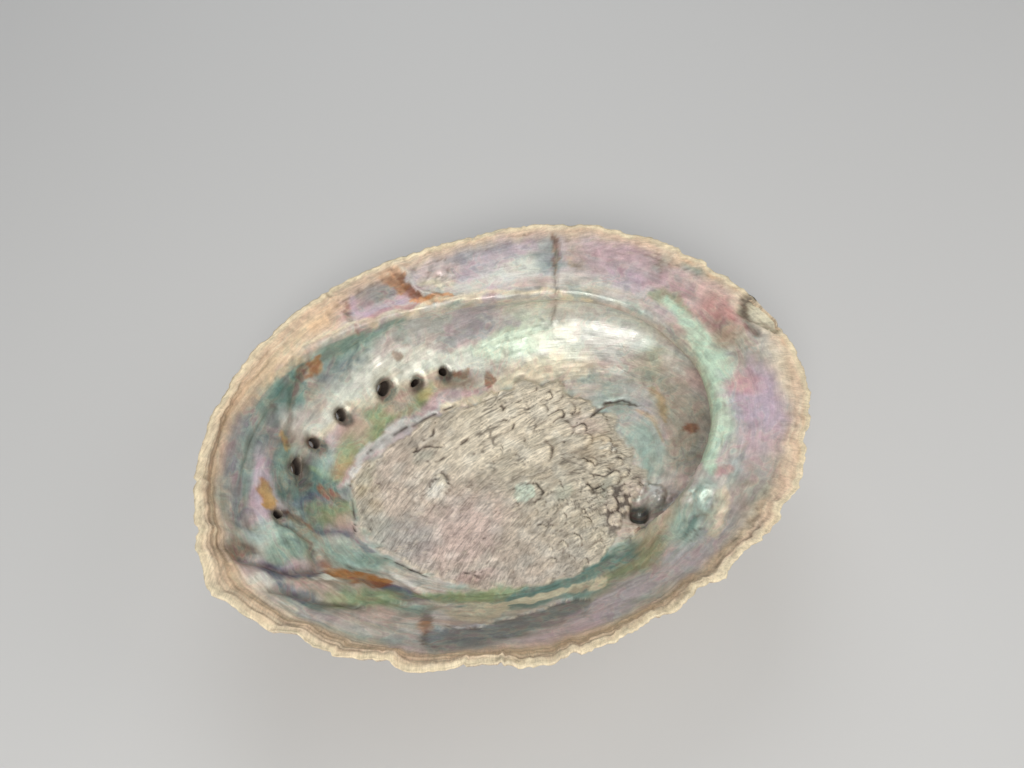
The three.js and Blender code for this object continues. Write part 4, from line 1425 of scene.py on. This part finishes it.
def make_shell():
    """Both faces shaped and coloured, joined, cut with the holes, unwrapped and smoothed."""
    bend_lip(inside, INNER_FADE)
    bend_lip(outside, OUTER_FADE)
    marks = shape_inside(inside)
    colour = paint_inside(inside, marks)
    inner = vertex_fields(inside, marks, colour, INSIDE)
    marks = shape_outside(outside)
    close_underside(outside)
    more = len(REST_SHARES)
    marks = {name: np.concatenate([mask, np.repeat(mask[:, -1:], more, axis=1)], axis=1)
             for name, mask in marks.items()}
    colour = paint_outside(outside, marks)
    outer = vertex_fields(outside, marks, colour, OUTSIDE)
    mesh, fields = shell_mesh(inner, outer)
    turn_outwards(mesh)
    piece = add_object("abalone_shell_visual", mesh)
    tools = cut_pores(piece)
    mesh = piece.data
    fields = carry_fields(mesh, fields, tools)
    unwrap(mesh, fields)
    store(mesh, "tint", "FLOAT_COLOR", np.concatenate(
        [fields[:, SLICES["tint"]], np.ones((len(fields), 1))], axis=1))
    for name in ("masks", "flow", "grain"):
        store(mesh, name, "FLOAT_VECTOR", fields[:, SLICES[name]])
    mesh.shade_smooth()
    return piece


# ---------- material

class Nodes:
    """A short way to add nodes to a tree and join them."""

    def __init__(self, material):
        material.use_nodes = True
        self.tree = material.node_tree
        self.shader = self.tree.nodes["Principled BSDF"]

    def add(self, kind, inputs, **settings):
        node = self.tree.nodes.new("ShaderNode" + kind)
        for name, value in settings.items():
            setattr(node, name, value)
        for name, value in inputs.items():
            self.feed(node.inputs[name], value)
        return node

    def feed(self, socket, value):
        if isinstance(value, bpy.types.NodeSocket):
            self.tree.links.new(value, socket)
        else:
            socket.default_value = value

    def attribute(self, name):
        return self.add("Attribute", {}, attribute_name=name)

    def noise(self, vector, scale, detail, roughness, distortion=0.0):
        inputs = {"Vector": vector, "Scale": scale, "Detail": detail, "Roughness": roughness,
                  "Distortion": distortion}
        return self.add("TexNoise", inputs).outputs["Fac"]

    def stretch(self, vector, scale):
        return self.add("Mapping", {"Vector": vector, "Scale": scale}).outputs["Vector"]

    def span(self, value, low, high, to_low, to_high):
        inputs = {"Value": value, "From Min": low, "From Max": high, "To Min": to_low,
                  "To Max": to_high}
        return self.add("MapRange", inputs, interpolation_type="SMOOTHSTEP").outputs["Result"]

    def maths(self, operation, first, second):
        return self.add("Math", {0: first, 1: second}, operation=operation).outputs[0]

    def product(self, first, second):
        return self.maths("MULTIPLY", first, second)

    def total(self, first, second):
        return self.maths("ADD", first, second)

    def blend(self, amount, first, second):
        inputs = {0: amount, 2: first, 3: second}
        return self.add("Mix", inputs, data_type="FLOAT").outputs[0]

    def times(self, colour, value):
        return self.add("VectorMath", {"Vector": colour, "Scale": value},
                        operation="SCALE").outputs["Vector"]

    def mix(self, amount, first, second):
        node = self.add("Mix", {"Factor": amount}, data_type="RGBA")
        self.feed(node.inputs[6], first)
        self.feed(node.inputs[7], second)
        return node.outputs[2]

    def ramp(self, value, stops):
        node = self.add("ValToRGB", {"Fac": value})
        bands = node.color_ramp.elements
        while len(bands) < len(stops):
            bands.new(0.5)
        for band, (at, colour) in zip(bands, stops):
            band.position = at
            band.color = (*colour, 1.0)
        return node.outputs["Color"]


def shell_material():
    """Nacre, chalky scar and rough outside, told apart by the masks on the mesh."""
    material = bpy.data.materials.new("abalone_shell_surface")
    n = Nodes(material)
    shader = n.shader
    tint = n.attribute("tint").outputs["Color"]
    flow = n.attribute("flow").outputs["Vector"]
    grain = n.attribute("grain").outputs["Vector"]
    masks = n.add("SeparateXYZ", {"Vector": n.attribute("masks").outputs["Vector"]}).outputs
    nacre, chalk = masks["X"], masks["Y"]
    spot = n.add("TexCoord", {}).outputs["Object"]

    lines = n.noise(n.stretch(flow, (0.05, 0.05, 0.9)), 1.0, 6.0, 0.62)
    hairs = n.noise(n.stretch(flow, (0.12, 0.12, 2.6)), 1.0, 4.0, 0.6)
    cloud = n.noise(spot, 260.0, 4.0, 0.6, 0.6)
    patchy = n.noise(spot, 110.0, 3.0, 0.5, 0.8)
    speck = n.noise(spot, 1500.0, 2.0, 0.6)
    wood = n.noise(n.stretch(grain, (0.22, 1.1, 1.0)), 1.0, 6.0, 0.68, 0.9)

    swirl = n.product(n.noise(spot, 30.0, 2.0, 0.4, 1.6), 60.0)
    terrace = n.span(n.maths("SINE", swirl, 0.0), 0.2, 1.0, 0.0, 1.0)
    where = n.product(nacre, n.span(patchy, 0.42, 0.66, 0.0, 0.8))
    terrace = n.product(terrace, where)

    play = n.ramp(n.noise(n.stretch(flow, (0.12, 0.12, 0.2)), 1.0, 3.0, 0.55, 1.4), [
        (0.30, ROSE), (0.40, PINK), (0.46, CREAM), (0.52, MINT), (0.58, AQUA), (0.64, STEEL),
        (0.72, LILAC)])
    amount = n.product(nacre, n.span(patchy, 0.35, 0.65, 0.06, 0.26))
    colour = n.mix(amount, tint, play)
    colour = n.times(colour, n.span(lines, 0.3, 0.7, 0.90, 1.08))
    colour = n.times(colour, n.span(cloud, 0.3, 0.7, 0.84, 1.12))
    colour = n.times(colour, n.span(terrace, 0.0, 1.0, 1.0, 0.88))
    colour = n.times(colour, n.blend(chalk, 1.0, n.span(wood, 0.34, 0.62, 0.62, 1.16)))
    colour = n.times(colour, n.span(speck, 0.25, 0.75, 0.93, 1.06))
    n.feed(shader.inputs["Base Color"], colour)

    satin = n.span(cloud, 0.3, 0.7, 0.30, 0.5)
    n.feed(shader.inputs["Roughness"], n.blend(chalk, satin, 0.82))
    n.feed(shader.inputs["Metallic"], n.product(nacre, 0.22))
    shader.inputs["IOR"].default_value = 1.53

    fine = n.total(n.product(lines, 0.5), n.product(hairs, 0.35))
    fine = n.total(fine, n.product(cloud, 0.5))
    coarse = n.product(chalk, n.total(wood, n.product(speck, 0.5)))
    height = n.total(fine, n.product(coarse, 2.0))
    height = n.total(height, n.product(terrace, 0.25))
    bump = n.add("Bump", {"Height": height, "Strength": 0.45, "Distance": 0.0004})
    n.feed(shader.inputs["Normal"], bump.outputs["Normal"])
    return material


# ---------- stage

def plain_material(name, colour, roughness):
    material = bpy.data.materials.new(name)
    shader = Nodes(material).shader
    shader.inputs["Base Color"].default_value = (*colour, 1.0)
    shader.inputs["Roughness"].default_value = roughness
    return material


def make_floor():
    size = 2.5      # metres from the middle to each side
    corners = [(-size, -size, 0), (size, -size, 0), (size, size, 0), (-size, size, 0)]
    floor = add_object("floor", mesh_of("floor", corners, [(0, 1, 2, 3)]))
    floor.data.materials.append(plain_material("pale_floor", (0.62, 0.62, 0.61), 0.7))


def soft_light(name, place_at, aim, size, power, colour):
    lamp = bpy.data.lights.new(name, "AREA")
    lamp.shape, lamp.size, lamp.energy, lamp.color = "DISK", size, power, colour
    holder = add_object(name, lamp)
    direction = Vector(aim) - Vector(place_at)
    holder.matrix_world = (Matrix.Translation(place_at)
                           @ direction.to_track_quat("-Z", "Y").to_matrix().to_4x4())


def make_lights():
    bowl = (0.0, 0.0, 0.03)
    soft_light("key", (-0.25, -0.50, 0.70), bowl, 0.45, 5.8, (1.0, 0.98, 0.95))
    soft_light("back", (0.15, 0.65, 0.60), bowl, 0.6, 1.9, (0.96, 0.98, 1.0))
    soft_light("side", (0.65, -0.10, 0.45), bowl, 0.6, 1.1, (1.0, 0.97, 0.94))
    world = bpy.data.worlds.new("studio")
    world.use_nodes = True
    sky = world.node_tree.nodes["Background"]
    sky.inputs["Color"].default_value = (0.93, 0.95, 1.0, 1.0)
    sky.inputs["Strength"].default_value = 0.2
    bpy.context.scene.world = world


def make_camera():
    camera_data = bpy.data.cameras.new("camera")
    camera_data.sensor_width = 36.0
    camera_data.lens = 28.0
    camera_data.clip_start = 0.01
    camera = add_object("camera", camera_data)
    camera.location = (-0.0416, -0.1200, 0.2692)
    camera.rotation_euler = (math.radians(32), 0, math.radians(-20))
    bpy.context.scene.camera = camera


bpy.context.scene.view_settings.view_transform = "Standard"
make_camera()
make_lights()
make_floor()
shell = make_shell()
shell.data.materials.clear()
shell.data.materials.append(shell_material())
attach(shell, "root")
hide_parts(NODE)

bpy.context.view_layer.update()
